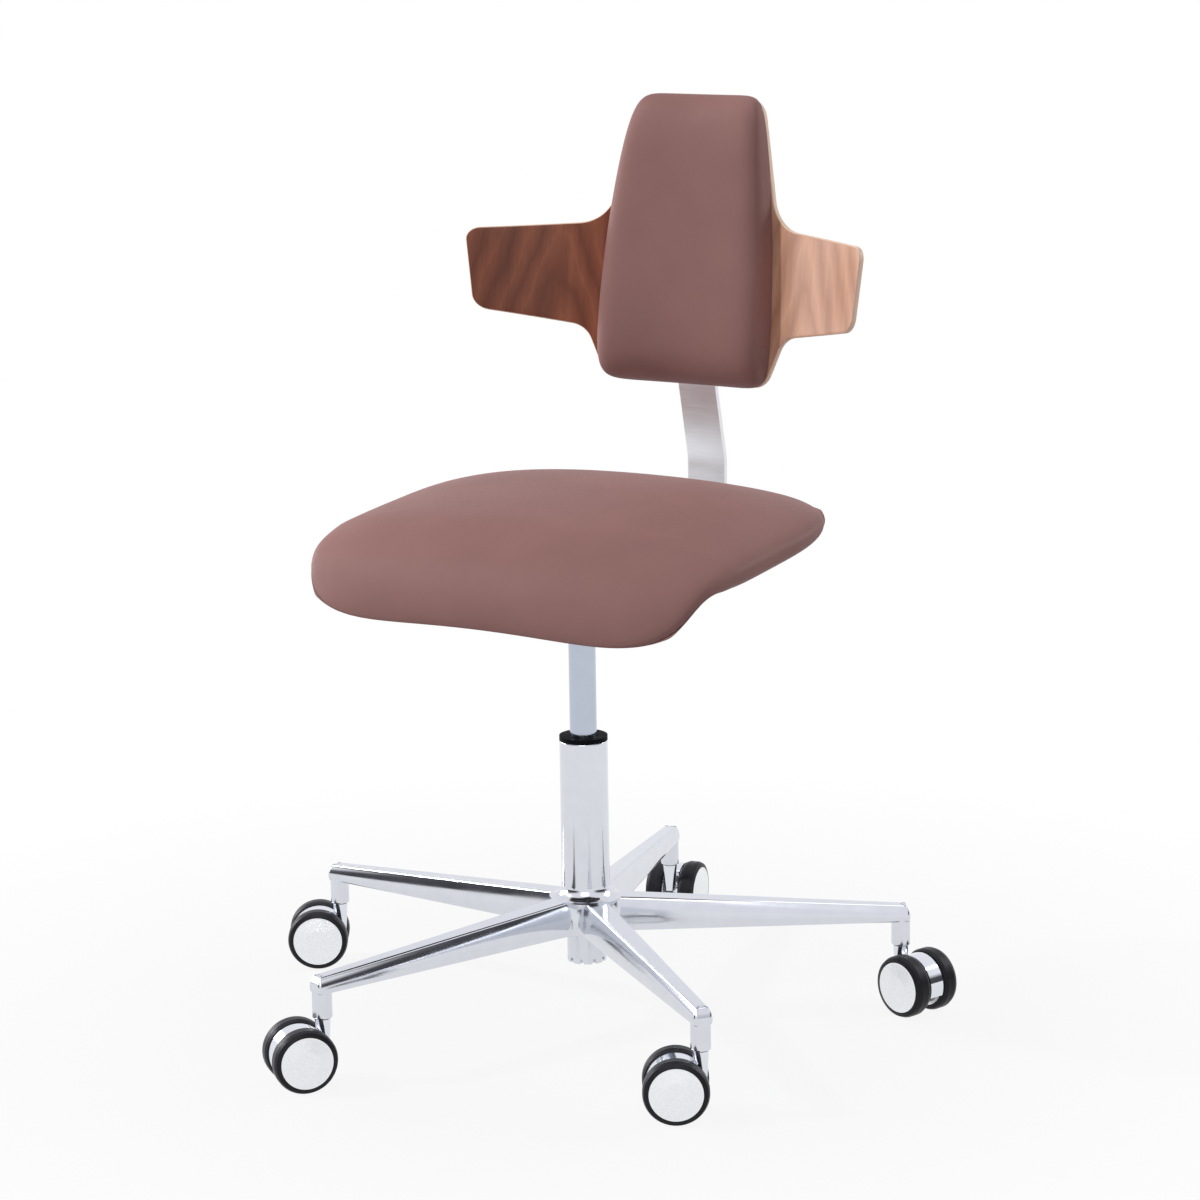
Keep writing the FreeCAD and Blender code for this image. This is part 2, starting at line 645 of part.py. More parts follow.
def make_lever_pin():
    ear_outer = LEVER_HUB_W / 2 + SLIDING + EAR_T
    return Part.makeCylinder(LEVER_PIN_D / 2, 2 * ear_outer, V(EAR_X, -ear_outer, EAR_Z), V(0, 1, 0))


def make_grip():
    """Flat moulded paddle pushed over the lever's end."""
    inner = LEVER_END_X + GRIP_OVERLAP
    outer = inner - GRIP_LENGTH
    half = GRIP_W / 2
    neck = GRIP_NECK_W / 2
    corners = [(outer, -half, GRIP_END_R), (inner, -neck, GRIP_NECK_R), (inner, neck, GRIP_NECK_R),
               (outer, half, GRIP_END_R)]
    body = plate_of(corners, LEVER_Z - GRIP_T / 2, LEVER_Z + GRIP_T / 2)
    edges = [e for e in body.Edges if abs(e.CenterOfMass.z - LEVER_Z) > GRIP_T / 2 - 0.01]
    body = body.makeFillet(GRIP_EDGE_R, edges)
    return body.cut(Part.makeCylinder(LEVER_D / 2, GRIP_OVERLAP, V(LEVER_END_X, 0, LEVER_Z), V(1, 0, 0)))


def on_back(shape):
    """Moves a shape from the back's frame (x across, -y forward, z up the lean) to the stool."""
    copy = shape.copy()
    copy.rotate(V(0, 0, 0), V(1, 0, 0), -BACK_LEAN_DEG)
    copy.translate(V(0, BACK_Y, BACK_Z))
    return copy


def bar_offset():
    """Middle of the bar behind the front face of the shell."""
    return SHELL_THICKNESS + CARRIER_WALL + SLIDING + BAR_THICKNESS / 2


def back_point(height):
    lean = math.radians(BACK_LEAN_DEG)
    y = BACK_Y + bar_offset() * math.cos(lean) + height * math.sin(lean)
    return V(0, y, BACK_Z - bar_offset() * math.sin(lean) + height * math.cos(lean))


def make_bar():
    """Flat bar: a run under the seat, an upright behind it, a forward lean and a top run behind the shell."""
    points = [V(0, BAR_FRONT_Y, BAR_RUN_Z), V(0, BAR_BACK_Y, BAR_RUN_Z), V(0, BAR_BACK_Y, BAR_BEND_Z),
              back_point(BAR_KINK_H), back_point(BAR_TOP_H)]
    radii = [0, BAR_LOWER_R, BAR_BEND_R, BAR_BEND_R, 0]
    edges = []
    last = points[0]
    for i in (1, 2, 3):
        back = points[i - 1].sub(points[i]).normalize()
        out = points[i + 1].sub(points[i]).normalize()
        half = back.getAngle(out) / 2
        reach = radii[i] / math.tan(half)
        inward = back.add(out).normalize()
        middle = points[i].add(inward * (radii[i] / math.sin(half) - radii[i]))
        start = points[i].add(back * reach)
        end = points[i].add(out * reach)
        edges.append(Part.LineSegment(last, start).toShape())
        edges.append(Part.Arc(start, middle, end).toShape())
        last = end
    edges.append(Part.LineSegment(last, points[4]).toShape())
    w, t = BAR_WIDTH / 2, BAR_THICKNESS / 2
    section = Part.makePolygon([V(-w, BAR_FRONT_Y, BAR_RUN_Z - t), V(w, BAR_FRONT_Y, BAR_RUN_Z - t),
                                V(w, BAR_FRONT_Y, BAR_RUN_Z + t), V(-w, BAR_FRONT_Y, BAR_RUN_Z + t),
                                V(-w, BAR_FRONT_Y, BAR_RUN_Z - t)])
    return Part.Wire(edges).makePipeShell([section], True, False)


def guide_floor_bottom():
    return BAR_RUN_Z - BAR_THICKNESS / 2 - SLIDING - GUIDE_FLOOR


def make_guide():
    """Block under the plate with a flat slot for the bar and a tapped hole for the clamp."""
    outer = BAR_WIDTH / 2 + SLIDING + GUIDE_SIDE
    length = GUIDE_REAR_Y - GUIDE_FRONT_Y
    bottom = guide_floor_bottom()
    block = Part.makeBox(2 * outer, length, SEAT_Z - bottom, V(-outer, GUIDE_FRONT_Y, bottom))
    slot = Part.makeBox(BAR_WIDTH + 2 * SLIDING, length, BAR_THICKNESS + 2 * SLIDING,
                        V(-BAR_WIDTH / 2 - SLIDING, GUIDE_FRONT_Y, BAR_RUN_Z - BAR_THICKNESS / 2 - SLIDING))
    tapped = Part.makeCylinder(CLAMP_D / 2 + RUNNING, GUIDE_FLOOR, V(0, CLAMP_Y, bottom))
    return block.cut([slot, tapped, above_plate()])


def knob_top():
    return guide_floor_bottom() - 2 * LIFT_OFF


def make_knob():
    """Lobed hand knob, its neck up, standing with the top of the neck at the origin."""
    bottom = -KNOB_NECK_H - KNOB_H
    lobe = Part.makeCylinder(KNOB_LOBE_D / 2, KNOB_H, V((KNOB_D - KNOB_LOBE_D) / 2, 0, bottom))
    lobes = [turned(lobe, 360.0 * i / KNOB_LOBES) for i in range(KNOB_LOBES)]
    core = disc(KNOB_CORE_D, bottom, -KNOB_NECK_H)
    body = core.fuse(lobes + [disc(KNOB_NECK_D, -KNOB_NECK_H, 0)]).removeSplitter()
    return body.cut(disc(CLAMP_D, -KNOB_STUD_SUNK, 0))


def make_stud(reach):
    """Threaded stud of a knob, from inside the knob to its tip."""
    return disc(CLAMP_D, -KNOB_STUD_SUNK, reach)


def clamp_reach():
    return BAR_RUN_Z - BAR_THICKNESS / 2 - LIFT_OFF - knob_top()


def at_clamp(shape):
    copy = shape.copy()
    copy.translate(V(0, CLAMP_Y, knob_top()))
    return copy


def shell_outline():
    """Cross outline of the shell, seen from the front."""
    right = [(SHELL_BOTTOM_X, SHELL_BOTTOM_H, SHELL_BOTTOM_R),
             (WING_ROOT_LOW_X, WING_ROOT_LOW_H, WING_ROOT_LOW_R),
             (WING_TIP_LOW_X, WING_TIP_LOW_H, WING_LOW_R),
             (WING_TIP_X, WING_TIP_TOP_H, WING_TOP_R),
             (WING_ROOT_X, WING_ROOT_TOP_H, WING_ROOT_R),
             (SHELL_TOP_X, SHELL_TOP_H, SHELL_TOP_R)]
    left = [(-x, h, r) for x, h, r in reversed(right)]
    return rounded_wire(right + left, in_front_view)


def carrier_screw_places():
    heights = (CARRIER_LOW_H + CARRIER_SCREW_INSET, CARRIER_TOP_H - CARRIER_SCREW_INSET)
    return [(x, h) for x in (-CARRIER_SCREW_X, CARRIER_SCREW_X) for h in heights]


def shell_back(x):
    """Depth of the shell's rear face, behind its front face on the middle line."""
    radius = BACK_CURVE_R + SHELL_THICKNESS
    return math.sqrt(radius ** 2 - x ** 2) - BACK_CURVE_R


def make_shell():
    """Bent plywood cross: a slice of a cylinder cut to the outline."""
    height = 2 * SHELL_TOP_H
    centre = V(0, -BACK_CURVE_R, -SHELL_TOP_H / 2)
    wall = Part.makeCylinder(BACK_CURVE_R + SHELL_THICKNESS, height, centre)
    wall = wall.cut(Part.makeCylinder(BACK_CURVE_R, height, centre))
    cross = Part.Face(shell_outline())
    cross.translate(V(0, -BACK_CURVE_R / 2, 0))
    shell = wall.common(cross.extrude(V(0, BACK_CURVE_R, 0)))
    bites = []
    for x, h in carrier_screw_places():
        start = V(x, shell_back(x) - SMALL_BITE, h)
        bites.append(Part.makeCylinder(SMALL_SCREW_D / 2, 2 * SHELL_THICKNESS, start, V(0, 1, 0)))
    return on_back(shell.cut(bites))


def pad_section(share):
    """Section of the pad at a share (-1 low, 1 top) of its height, thick square to the shell's curve."""
    top = SHELL_TOP_H - PAD_MARGIN
    foot = SHELL_BOTTOM_H + PAD_MARGIN
    upward = (share + 1) / 2
    height = foot + (top - foot) * upward
    top_x = SHELL_TOP_X + PAD_TOP_OVERHANG
    foot_x = SHELL_BOTTOM_X + PAD_BOTTOM_OVERHANG
    full_width = foot_x + (top_x - foot_x) * upward ** PAD_TAPER
    full_thick = PAD_THICKNESS + (PAD_TOP_THICKNESS - PAD_THICKNESS) * upward
    half_width = full_width * (1 - abs(share) ** PAD_CORNER) ** (1 / PAD_CORNER)
    thick = full_thick * (1 - abs(share) ** (2 * PAD_EDGE)) ** (1 / PAD_EDGE)
    inner_r = BACK_CURVE_R - SOFT_GAP

    def point(degrees):
        across = half_width * signed_power(math.cos(math.radians(degrees)), 2 / PAD_CROWN)
        out = thick * math.sin(math.radians(degrees)) ** (2 / PAD_CROWN)
        turn = across / BACK_CURVE_R
        radius = inner_r - out
        return V(radius * math.sin(turn), radius * math.cos(turn) - BACK_CURVE_R, height)

    arcs = []
    for first, middle, last in ((0, 8, 18), (18, 34, 56), (56, 90, 124), (124, 146, 162), (162, 172, 180)):
        arcs.append(Part.Arc(point(first), point(middle), point(last)).toShape())
    behind = V(0, -SOFT_GAP, height)
    arcs.append(Part.Arc(point(180), behind, point(0)).toShape())
    return Part.Wire(arcs)


def make_pad():
    """Back pad: a crowned cushion on the front of the shell."""
    shares = (-0.99, -0.95, -0.85, -0.6, 0.0, 0.6, 0.85, 0.95, 0.99)
    return on_back(Part.makeLoft([pad_section(s) for s in shares], True, True))


def make_carrier():
    """Carrier screwed to the shell's back, with the slot that slides on the bar."""
    outer = BAR_WIDTH / 2 + SLIDING + CARRIER_SIDE
    rear = bar_offset() + BAR_THICKNESS / 2 + SLIDING + CARRIER_BACK
    corners = [(-outer, CARRIER_LOW_H, CARRIER_CORNER_R), (outer, CARRIER_LOW_H, CARRIER_CORNER_R),
               (outer, CARRIER_TOP_H, CARRIER_CORNER_R), (-outer, CARRIER_TOP_H, CARRIER_CORNER_R)]
    block = Part.Face(rounded_wire(corners, in_front_view)).extrude(V(0, rear, 0))
    shell_side = Part.makeCylinder(BACK_CURVE_R + SHELL_THICKNESS, 2 * CARRIER_TOP_H, V(0, -BACK_CURVE_R, 0))
    slot = Part.makeBox(BAR_WIDTH + 2 * SLIDING, BAR_THICKNESS + 2 * SLIDING, 2 * CARRIER_TOP_H,
                        V(-BAR_WIDTH / 2 - SLIDING, bar_offset() - BAR_THICKNESS / 2 - SLIDING, 0))
    tapped = Part.makeCylinder(CLAMP_D / 2 + RUNNING, rear, V(0, bar_offset(), BACK_KNOB_H), V(0, 1, 0))
    holes = []
    for x, h in carrier_screw_places():
        holes.append(Part.makeCylinder(SMALL_SCREW_D / 2, rear, V(x, 0, h), V(0, 1, 0)))
    return on_back(block.cut([shell_side, slot, tapped] + holes))


def make_carrier_screws():
    rear = bar_offset() + BAR_THICKNESS / 2 + SLIDING + CARRIER_BACK
    screws = []
    for x, h in carrier_screw_places():
        start = shell_back(x) - SMALL_BITE
        shank = Part.makeCylinder(SMALL_SCREW_D / 2, rear - start, V(x, start, h), V(0, 1, 0))
        head = Part.makeCylinder(SMALL_HEAD_D / 2, SCREW_HEAD_H, V(x, rear, h), V(0, 1, 0))
        screws.append(on_back(shank.fuse(head).removeSplitter()))
    return Part.makeCompound(screws)


def at_back_knob(shape):
    """Turns a knob's axis to point forward and sets it behind the carrier."""
    copy = shape.copy()
    copy.rotate(V(0, 0, 0), V(1, 0, 0), 90)
    rear = bar_offset() + BAR_THICKNESS / 2 + SLIDING + CARRIER_BACK
    copy.translate(V(0, rear + 2 * LIFT_OFF, BACK_KNOB_H))
    return on_back(copy)


def back_knob_reach():
    return SLIDING + CARRIER_BACK + 2 * LIFT_OFF - LIFT_OFF


def caster_places():
    """Stem position and trailing direction of each caster."""
    places = []
    for arm, trail in zip(arm_angles(), CASTER_TRAIL_DEG):
        a = math.radians(arm)
        places.append((V(LEG_CIRCLE_R * math.cos(a), LEG_CIRCLE_R * math.sin(a), 0), trail))
    return places


def at_caster(shape, place):
    """Moves a shape from a caster's own frame (stem at the origin, trailing along +X) to its leg."""
    copy = turned(shape, place[1])
    copy.translate(place[0])
    return copy


AXLE = V(TRAIL, 0, WHEEL_D / 2)


def polar(radius, degrees):
    return AXLE.add(V(radius * math.cos(math.radians(degrees)), 0, radius * math.sin(math.radians(degrees))))


def sector(inner, outer, first, last, width):
    """Ring sector round the axle, centred between the wheels."""
    middle = (first + last) / 2
    edges = [Part.Arc(polar(outer, first), polar(outer, middle), polar(outer, last)).toShape(),
             Part.LineSegment(polar(outer, last), polar(inner, last)).toShape(),
             Part.Arc(polar(inner, last), polar(inner, middle), polar(inner, first)).toShape(),
             Part.LineSegment(polar(inner, first), polar(outer, first)).toShape()]
    face = Part.Face(Part.Wire(edges))
    face.translate(V(0, -width / 2, 0))
    return face.extrude(V(0, width, 0))


def make_hood():
    """Chromed caster body: a fender between the wheels, a web, an axle boss and the neck on the stem."""
    width = WHEEL_GAP - 2 * WHEEL_PLAY
    fender = sector(HOOD_R - HOOD_SHELL, HOOD_R, HOOD_FIRST_DEG, HOOD_LAST_DEG, width)
    web = sector(AXLE_D / 2, HOOD_R - HOOD_SHELL / 2, HOOD_FIRST_DEG, HOOD_LAST_DEG, HOOD_WEB)
    boss = Part.makeCylinder(HOOD_BOSS_D / 2, width, V(AXLE.x, -width / 2, AXLE.z), V(0, 1, 0))
    top = LEG_BOTTOM - NECK_CLEARANCE
    neck = Part.makeCone(NECK_BOTTOM_D / 2, NECK_TOP_D / 2, top - NECK_BOTTOM, V(0, 0, NECK_BOTTOM))
    stem_bore = Part.makeCylinder(STEM_PIN_D / 2 + RUNNING, STEM_PIN_DEPTH, V(0, 0, top - STEM_PIN_DEPTH))
    axle_bore = Part.makeCylinder(AXLE_D / 2, width, V(AXLE.x, -width / 2, AXLE.z), V(0, 1, 0))
    return fender.fuse([web, boss, neck]).cut([stem_bore, axle_bore]).removeSplitter()


def make_stem():
    """Steel stem: a thick end in the leg and a thinner pin in the caster's neck."""
    top = LEG_BOTTOM - NECK_CLEARANCE
    pin_bottom = top - STEM_PIN_DEPTH + LIFT_OFF
    pin = Part.makeCylinder(STEM_PIN_D / 2, LEG_BOTTOM - pin_bottom, V(0, 0, pin_bottom))
    grip = Part.makeCylinder(STEM_D / 2, STEM_DEPTH, V(0, 0, LEG_BOTTOM))
    collar_h = NECK_CLEARANCE - LIFT_OFF
    collar = Part.makeCylinder(STEM_COLLAR_D / 2, collar_h, V(0, 0, LEG_BOTTOM - collar_h))
    return pin.fuse([grip, collar]).removeSplitter()


def make_axle():
    length = WHEEL_GAP + 2 * (WHEEL_WIDTH - CAP_PLATE - LIFT_OFF)
    return Part.makeCylinder(AXLE_D / 2, length, V(AXLE.x, -length / 2, AXLE.z), V(0, 1, 0))


def wheel_point(radius, across):
    return AXLE.add(V(radius, across, 0))


def make_wheel():
    """Moulded wheel open towards the hood: hub, outer cap with a shallow dome, and rim."""
    inner = WHEEL_GAP / 2
    outer = inner + WHEEL_WIDTH
    bore = AXLE_D / 2 + RUNNING
    hub = WHEEL_HUB_D / 2
    rim = RIM_D / 2
    wall = rim - RIM_WALL
    profile = [wheel_point(bore, inner), wheel_point(hub, inner), wheel_point(hub, outer - CAP_PLATE),
               wheel_point(wall, outer - CAP_PLATE), wheel_point(wall, inner + WHEEL_PLAY),
               wheel_point(rim, inner + WHEEL_PLAY), wheel_point(rim, outer - CAP_DOME),
               wheel_point(CAP_D / 2, outer - CAP_DOME), wheel_point(CAP_D / 4, outer), wheel_point(0, outer),
               wheel_point(0, outer - CAP_PLATE), wheel_point(bore, outer - CAP_PLATE)]
    return revolved(profile, V(0, 1, 0), AXLE)


def make_tyre():
    """Soft tread on the rim, with shoulders drawn in by two steps of slope."""
    inner = WHEEL_GAP / 2 + WHEEL_PLAY
    outer = WHEEL_GAP / 2 + WHEEL_WIDTH - CAP_DOME
    tread = WHEEL_D / 2
    shoulder = TYRE_SHOULDER
    bow = shoulder * (1 - math.sqrt(0.5))
    profile = [wheel_point(RIM_D / 2, inner), wheel_point(tread - shoulder, inner),
               wheel_point(tread - bow, inner + bow), wheel_point(tread, inner + shoulder),
               wheel_point(tread, outer - shoulder), wheel_point(tread - bow, outer - bow),
               wheel_point(tread - shoulder, outer), wheel_point(RIM_D / 2, outer)]
    return revolved(profile, V(0, 1, 0), AXLE)


def mirrored(shape):
    """The other wheel of a pair."""
    return shape.mirror(V(0, 0, 0), V(0, 1, 0))


def all_parts():
    parts = {
        "star_base": make_base(), "column_bush": make_bush(), "bottom_nut": make_nut(),
        "thrust_bearing": make_bearing(),
        "piston_rod": make_rod(), "rod_clip": make_clip(), "piston": make_piston(),
        "pressure_tube": make_tube(), "rod_guide": make_rod_guide(), "valve_pin": make_pin(),
        "gas_socket": make_socket(), "seat_plate": make_plate(), "seat_screws": make_seat_screws(),
        "seat_pan": make_pan(), "seat_cushion": make_cushion(),
        "height_lever": make_lever(), "lever_pin": make_lever_pin(), "lever_grip": make_grip(),
        "bar_guide": make_guide(), "clamp_knob": at_clamp(make_knob()),
        "clamp_stud": at_clamp(make_stud(clamp_reach())),
        "back_bar": make_bar(), "back_shell": make_shell(), "back_pad": make_pad(),
        "back_carrier": make_carrier(),
        "carrier_screws": make_carrier_screws(), "back_knob": at_back_knob(make_knob()),
        "back_knob_stud": at_back_knob(make_stud(back_knob_reach())),
    }
    places = caster_places()
    stem = make_stem()
    parts["caster_stems"] = Part.makeCompound([at_caster(stem, place) for place in places])
    hood = make_hood()
    axle = make_axle()
    wheel = make_wheel()
    tyre = make_tyre()
    pair = (("left", wheel, tyre), ("right", mirrored(wheel), mirrored(tyre)))
    for number, place in enumerate(places, 1):
        parts["caster_%d_hood" % number] = at_caster(hood, place)
        parts["caster_%d_axle" % number] = at_caster(axle, place)
        for side, side_wheel, side_tyre in pair:
            parts["caster_%d_wheel_%s" % (number, side)] = at_caster(side_wheel, place)
            parts["caster_%d_tyre_%s" % (number, side)] = at_caster(side_tyre, place)
    return parts


def main():
    os.makedirs("parts", exist_ok=True)
    for name, shape in all_parts().items():
        box = shape.BoundBox
        print("%-22s solids %d valid %s volume %9.0f  x %.1f..%.1f  y %.1f..%.1f  z %.1f..%.1f" % (
            name, len(shape.Solids), shape.isValid(), shape.Volume,
            box.XMin, box.XMax, box.YMin, box.YMax, box.ZMin, box.ZMax))
        shape.exportStep(os.path.join("parts", name + ".step"))


main()
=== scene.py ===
"""Looks of a practitioner stool: upholstery, bent walnut back, polished base, casters, light and camera."""
import math

import bmesh
import bpy
import numpy as np
from bpy.props import FloatProperty, FloatVectorProperty, PointerProperty
from mathutils import Matrix, Vector


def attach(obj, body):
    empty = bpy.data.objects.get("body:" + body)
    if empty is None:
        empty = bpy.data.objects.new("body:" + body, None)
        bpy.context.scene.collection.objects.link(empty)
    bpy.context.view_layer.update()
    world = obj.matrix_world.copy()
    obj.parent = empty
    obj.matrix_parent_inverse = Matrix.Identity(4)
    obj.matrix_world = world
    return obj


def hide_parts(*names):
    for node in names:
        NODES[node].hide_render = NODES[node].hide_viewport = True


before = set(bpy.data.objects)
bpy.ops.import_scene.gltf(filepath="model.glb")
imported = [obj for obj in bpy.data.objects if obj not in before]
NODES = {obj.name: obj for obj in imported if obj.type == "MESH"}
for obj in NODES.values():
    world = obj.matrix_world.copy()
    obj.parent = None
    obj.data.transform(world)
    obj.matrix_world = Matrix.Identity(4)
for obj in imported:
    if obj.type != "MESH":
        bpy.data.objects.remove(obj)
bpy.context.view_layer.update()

bl_info = {
    "name": "Practitioner Stool",
    "version": (1, 0, 0),
    "blender": (4, 5, 0),
    "location": "View3D > Sidebar > Stool",
    "description": "Dresses the stool's frame with upholstery, walnut and polished metal",
    "category": "Object",
}

MM = 0.001

# Places of the seat's and the back's own frames in the stool
SEAT_POINT = np.array([0, -0.0004, 0.5224])
BACK_POINT = np.array([0, 0.223, 0.650])

# Seat board under the cushion, in the seat's frame
BOARD_MIDDLE = np.array([0, 0.0115])
BOARD_HALF = np.array([0.185, 0.1065])
BOARD_CORNER = 0.045
BOARD_LEVEL = -0.0115

# Covers: pressure on the cloth, frames it gets, rounds of evening out, and the rim where the swell dies away
PRESSURE = 4.0
LAST_FRAME = 20
ROUNDS = 24
SEAM_BAND = 0.3
DRAWN_IN = 0.3  # share of the swell by which a form is made smaller before it is filled

# Colours of the parts that the panel doesn't list
LINING_BLACK = (0.02, 0.02, 0.022)
COATED_BLACK = (0.03, 0.03, 0.033)
STAINED_BLACK = (0.03, 0.03, 0.032)

# Lamps: the key's place and angle, then place and size of each soft lamp; the setting of the same name
# holds its power
KEY_PLACE = (-2.2, -1.4, 2.6)
KEY_ANGLE = math.radians(4)
LAMPS = {
    "side": ((-2.6, -0.25, 0.9), (2.2, 1.0)),
    "rim": ((1.65, 2.35, 1.6), (1.4, 1.4)),
    "top": ((0.0, 0.2, 3.2), (2.5, 2.5)),
    "front": ((1.3, -2.5, 1.9), (1.8, 1.8)),
}
LIT_POINT = Vector((0, 0, 0.55))
SCREENS = (17.0, 234.0)  # bearings of the dim screens that gloss sees, in degrees

# Camera: place, focal length in mm, and its bearing, dip and roll
CAMERA_PLACE = (1.8637, -2.9463, 1.1956)
CAMERA_LENS = 104.68
CAMERA_TURNS = [math.radians(angle) for angle in (32.0, 12.18, -0.86)]


def length(name, description, default):
    """A size in metres, given in millimetres."""
    return FloatProperty(name=name, description=description, default=default * MM, unit="LENGTH")


def shade(name, description, red, green, blue):
    """A colour given as it looks on screen, from 0 to 255, kept as linear light."""
    screen = np.array([red, green, blue]) / 255
    linear = np.where(screen > 0.04045, ((screen + 0.055) / 1.055) ** 2.4, screen / 12.92)
    return FloatVectorProperty(name=name, description=description, default=linear.tolist(), subtype="COLOR",
                               size=3, min=0.0, max=1.0)


class SeatSizes(bpy.types.PropertyGroup):
    """Shape of the seat cushion."""
    half_width: length("Half width", "From the middle to the widest point", 238.7)
    rear: length("Rear length", "From the lift's axis to the rear edge", 182.5)
    front: length("Front length", "From the lift's axis to the front edge, along the roll", 217.0)
    rear_thickness: length("Rear half thickness", "Half the cushion's thickness at the rear", 33.0)
    front_thickness: length("Front half thickness", "Half the cushion's thickness in front", 40.0)
    roll_start: length("Roll start", "Where the surface begins to roll down", 94.8)
    roll_radius: length("Roll radius", "Radius of the rolled front", 120.2)
    fall: length("Side fall", "How far the sides hang below the middle", 8.3)
    corner_drop: length("Corner drop", "How far the front corners hang further down", 15.3)
    tilt: FloatProperty(name="Tilt", description="Forward tilt of the seat", default=math.radians(4.7),
                        subtype="ANGLE")
    swell: length("Swell", "How far the foam pushes the cover out", 2.0)


class BackSizes(bpy.types.PropertyGroup):
    """Shape of the bent shell and its pad."""
    curve: length("Curve radius", "Radius of the shell's front face", 380.0)
    thickness: length("Shell thickness", "Thickness of the bent plywood", 8.0)
    edge: length("Edge rounding", "Radius sanded on the shell's edges", 1.8)
    lean: FloatProperty(name="Lean", description="Backward lean", default=math.radians(7.2), subtype="ANGLE")
    pad_foot: length("Pad foot half width", "Half the pad's width at its foot", 106.2)
    pad_top: length("Pad top half width", "Half the pad's width at its top", 75.9)
    pad_low: length("Pad's lower end", "Height of the pad's foot in the back's frame", -14.5)
    pad_high: length("Pad's upper end", "Height of the pad's top in the back's frame", 292.0)
    pad_thickness: length("Pad thickness", "Thickness of the pad at its foot", 33.0)
    pad_top_thickness: length("Pad top thickness", "Thickness of the pad at its top", 24.0)
    swell: length("Swell", "How far the foam pushes the cover out", 2.0)


class BaseSizes(bpy.types.PropertyGroup):
    """Shape of the cast base."""
    root_top: length("Arm top at the hub", "Height of the arms' top line, carried in to the axis", 132.5)
    tip_top: length("Arm top at the tip", "Height of the arms' top at the legs", 111.5)
    root_low: length("Arm foot at the hub", "Height of the arms' underside at the column", 94.0)
    tip_low: length("Arm foot at the tip", "Height of the arms' underside at the legs", 94.6)
    column_top: length("Column top", "Height of the column under its collar", 296.5)
    edge: length("Edge rounding", "Radius along the top of the arms", 2.6)
    belly: length("Side belly", "How far the arms' sides lean in towards the top", 3.0)
    wall: length("Wall", "Wall of the channel under each arm", 4.0)


class Finishes(bpy.types.PropertyGroup):
    """Colours of the stool."""
    cover: shade("Cover", "Leatherette of seat and back", 149, 110, 106)
    walnut: shade("Left veneer", "Left leaf of the book-matched walnut, light growth", 164, 100, 76)
    walnut_dark: shade("Left grain", "Left leaf, dark growth", 118, 66, 50)
    # The right leaf's two colours are painted paler than the left's: painted sheen standing in for the light
    # from the left on the right wing
    walnut_painted_sheen: shade("Sheen-painted right veneer", "Right leaf painted paler as sheen, light growth", 224, 175, 148)
    walnut_grain_painted_sheen: shade("Sheen-painted right grain", "Right leaf painted paler as sheen, dark growth", 186, 138, 114)
    ply: shade("Ply edge", "Edge of the bent plywood", 240, 206, 182)
    cast: shade("Cast metal", "Polished aluminium of the base", 216, 219, 226)
    chrome: shade("Chrome", "Chromed caster hoods", 226, 229, 236)
    tube: shade("Lift tube", "Chromed tube of the lift", 186, 193, 207)
    bar: shade("Bar", "Brushed steel of the back bar", 240, 241, 245)
    cap: shade("Wheel cap", "Satin silver caps of the wheels", 244, 245, 248)
    tread: shade("Tread", "Soft tread of the wheels", 38, 38, 44)
    black: shade("Black parts", "Moulded collar, knobs and grip", 22, 23, 27)


class StageSettings(bpy.types.PropertyGroup):
    """Light and floor."""
    floor: shade("Floor", "Pale floor", 184, 184, 186)
    key: FloatProperty(name="Key light", description="Strength of the light from the left, above the front",
                       default=1.6)
    side: FloatProperty(name="Side light", description="Power of the low soft light on the left",
                        default=38.0, unit="POWER")
    rim: FloatProperty(name="Rim light", description="Power of the soft light behind on the right",
                       default=32.0, unit="POWER")
    top: FloatProperty(name="Top light", description="Power of the broad soft light overhead",
                       default=19.0, unit="POWER")
    front: FloatProperty(name="Front light", description="Power of the soft light beside the camera",
                         default=22.0, unit="POWER")
    sky: FloatProperty(name="Sky", description="Strength of the even light from all round", default=0.1)


# Meshes

def grid_faces(rows, columns, start, close_rows=False, close_columns=False):
    """Quads of a grid whose points are numbered row by row from start."""
    down = np.arange(rows if close_rows else rows - 1)
    along = np.arange(columns if close_columns else columns - 1)
    i, j = np.meshgrid(down, along, indexing="ij")
    i2, j2 = (i + 1) % rows, (j + 1) % columns
    quads = np.stack([i * columns + j, i * columns + j2, i2 * columns + j2, i2 * columns + j], -1)
    return quads.reshape(-1, 4) + start


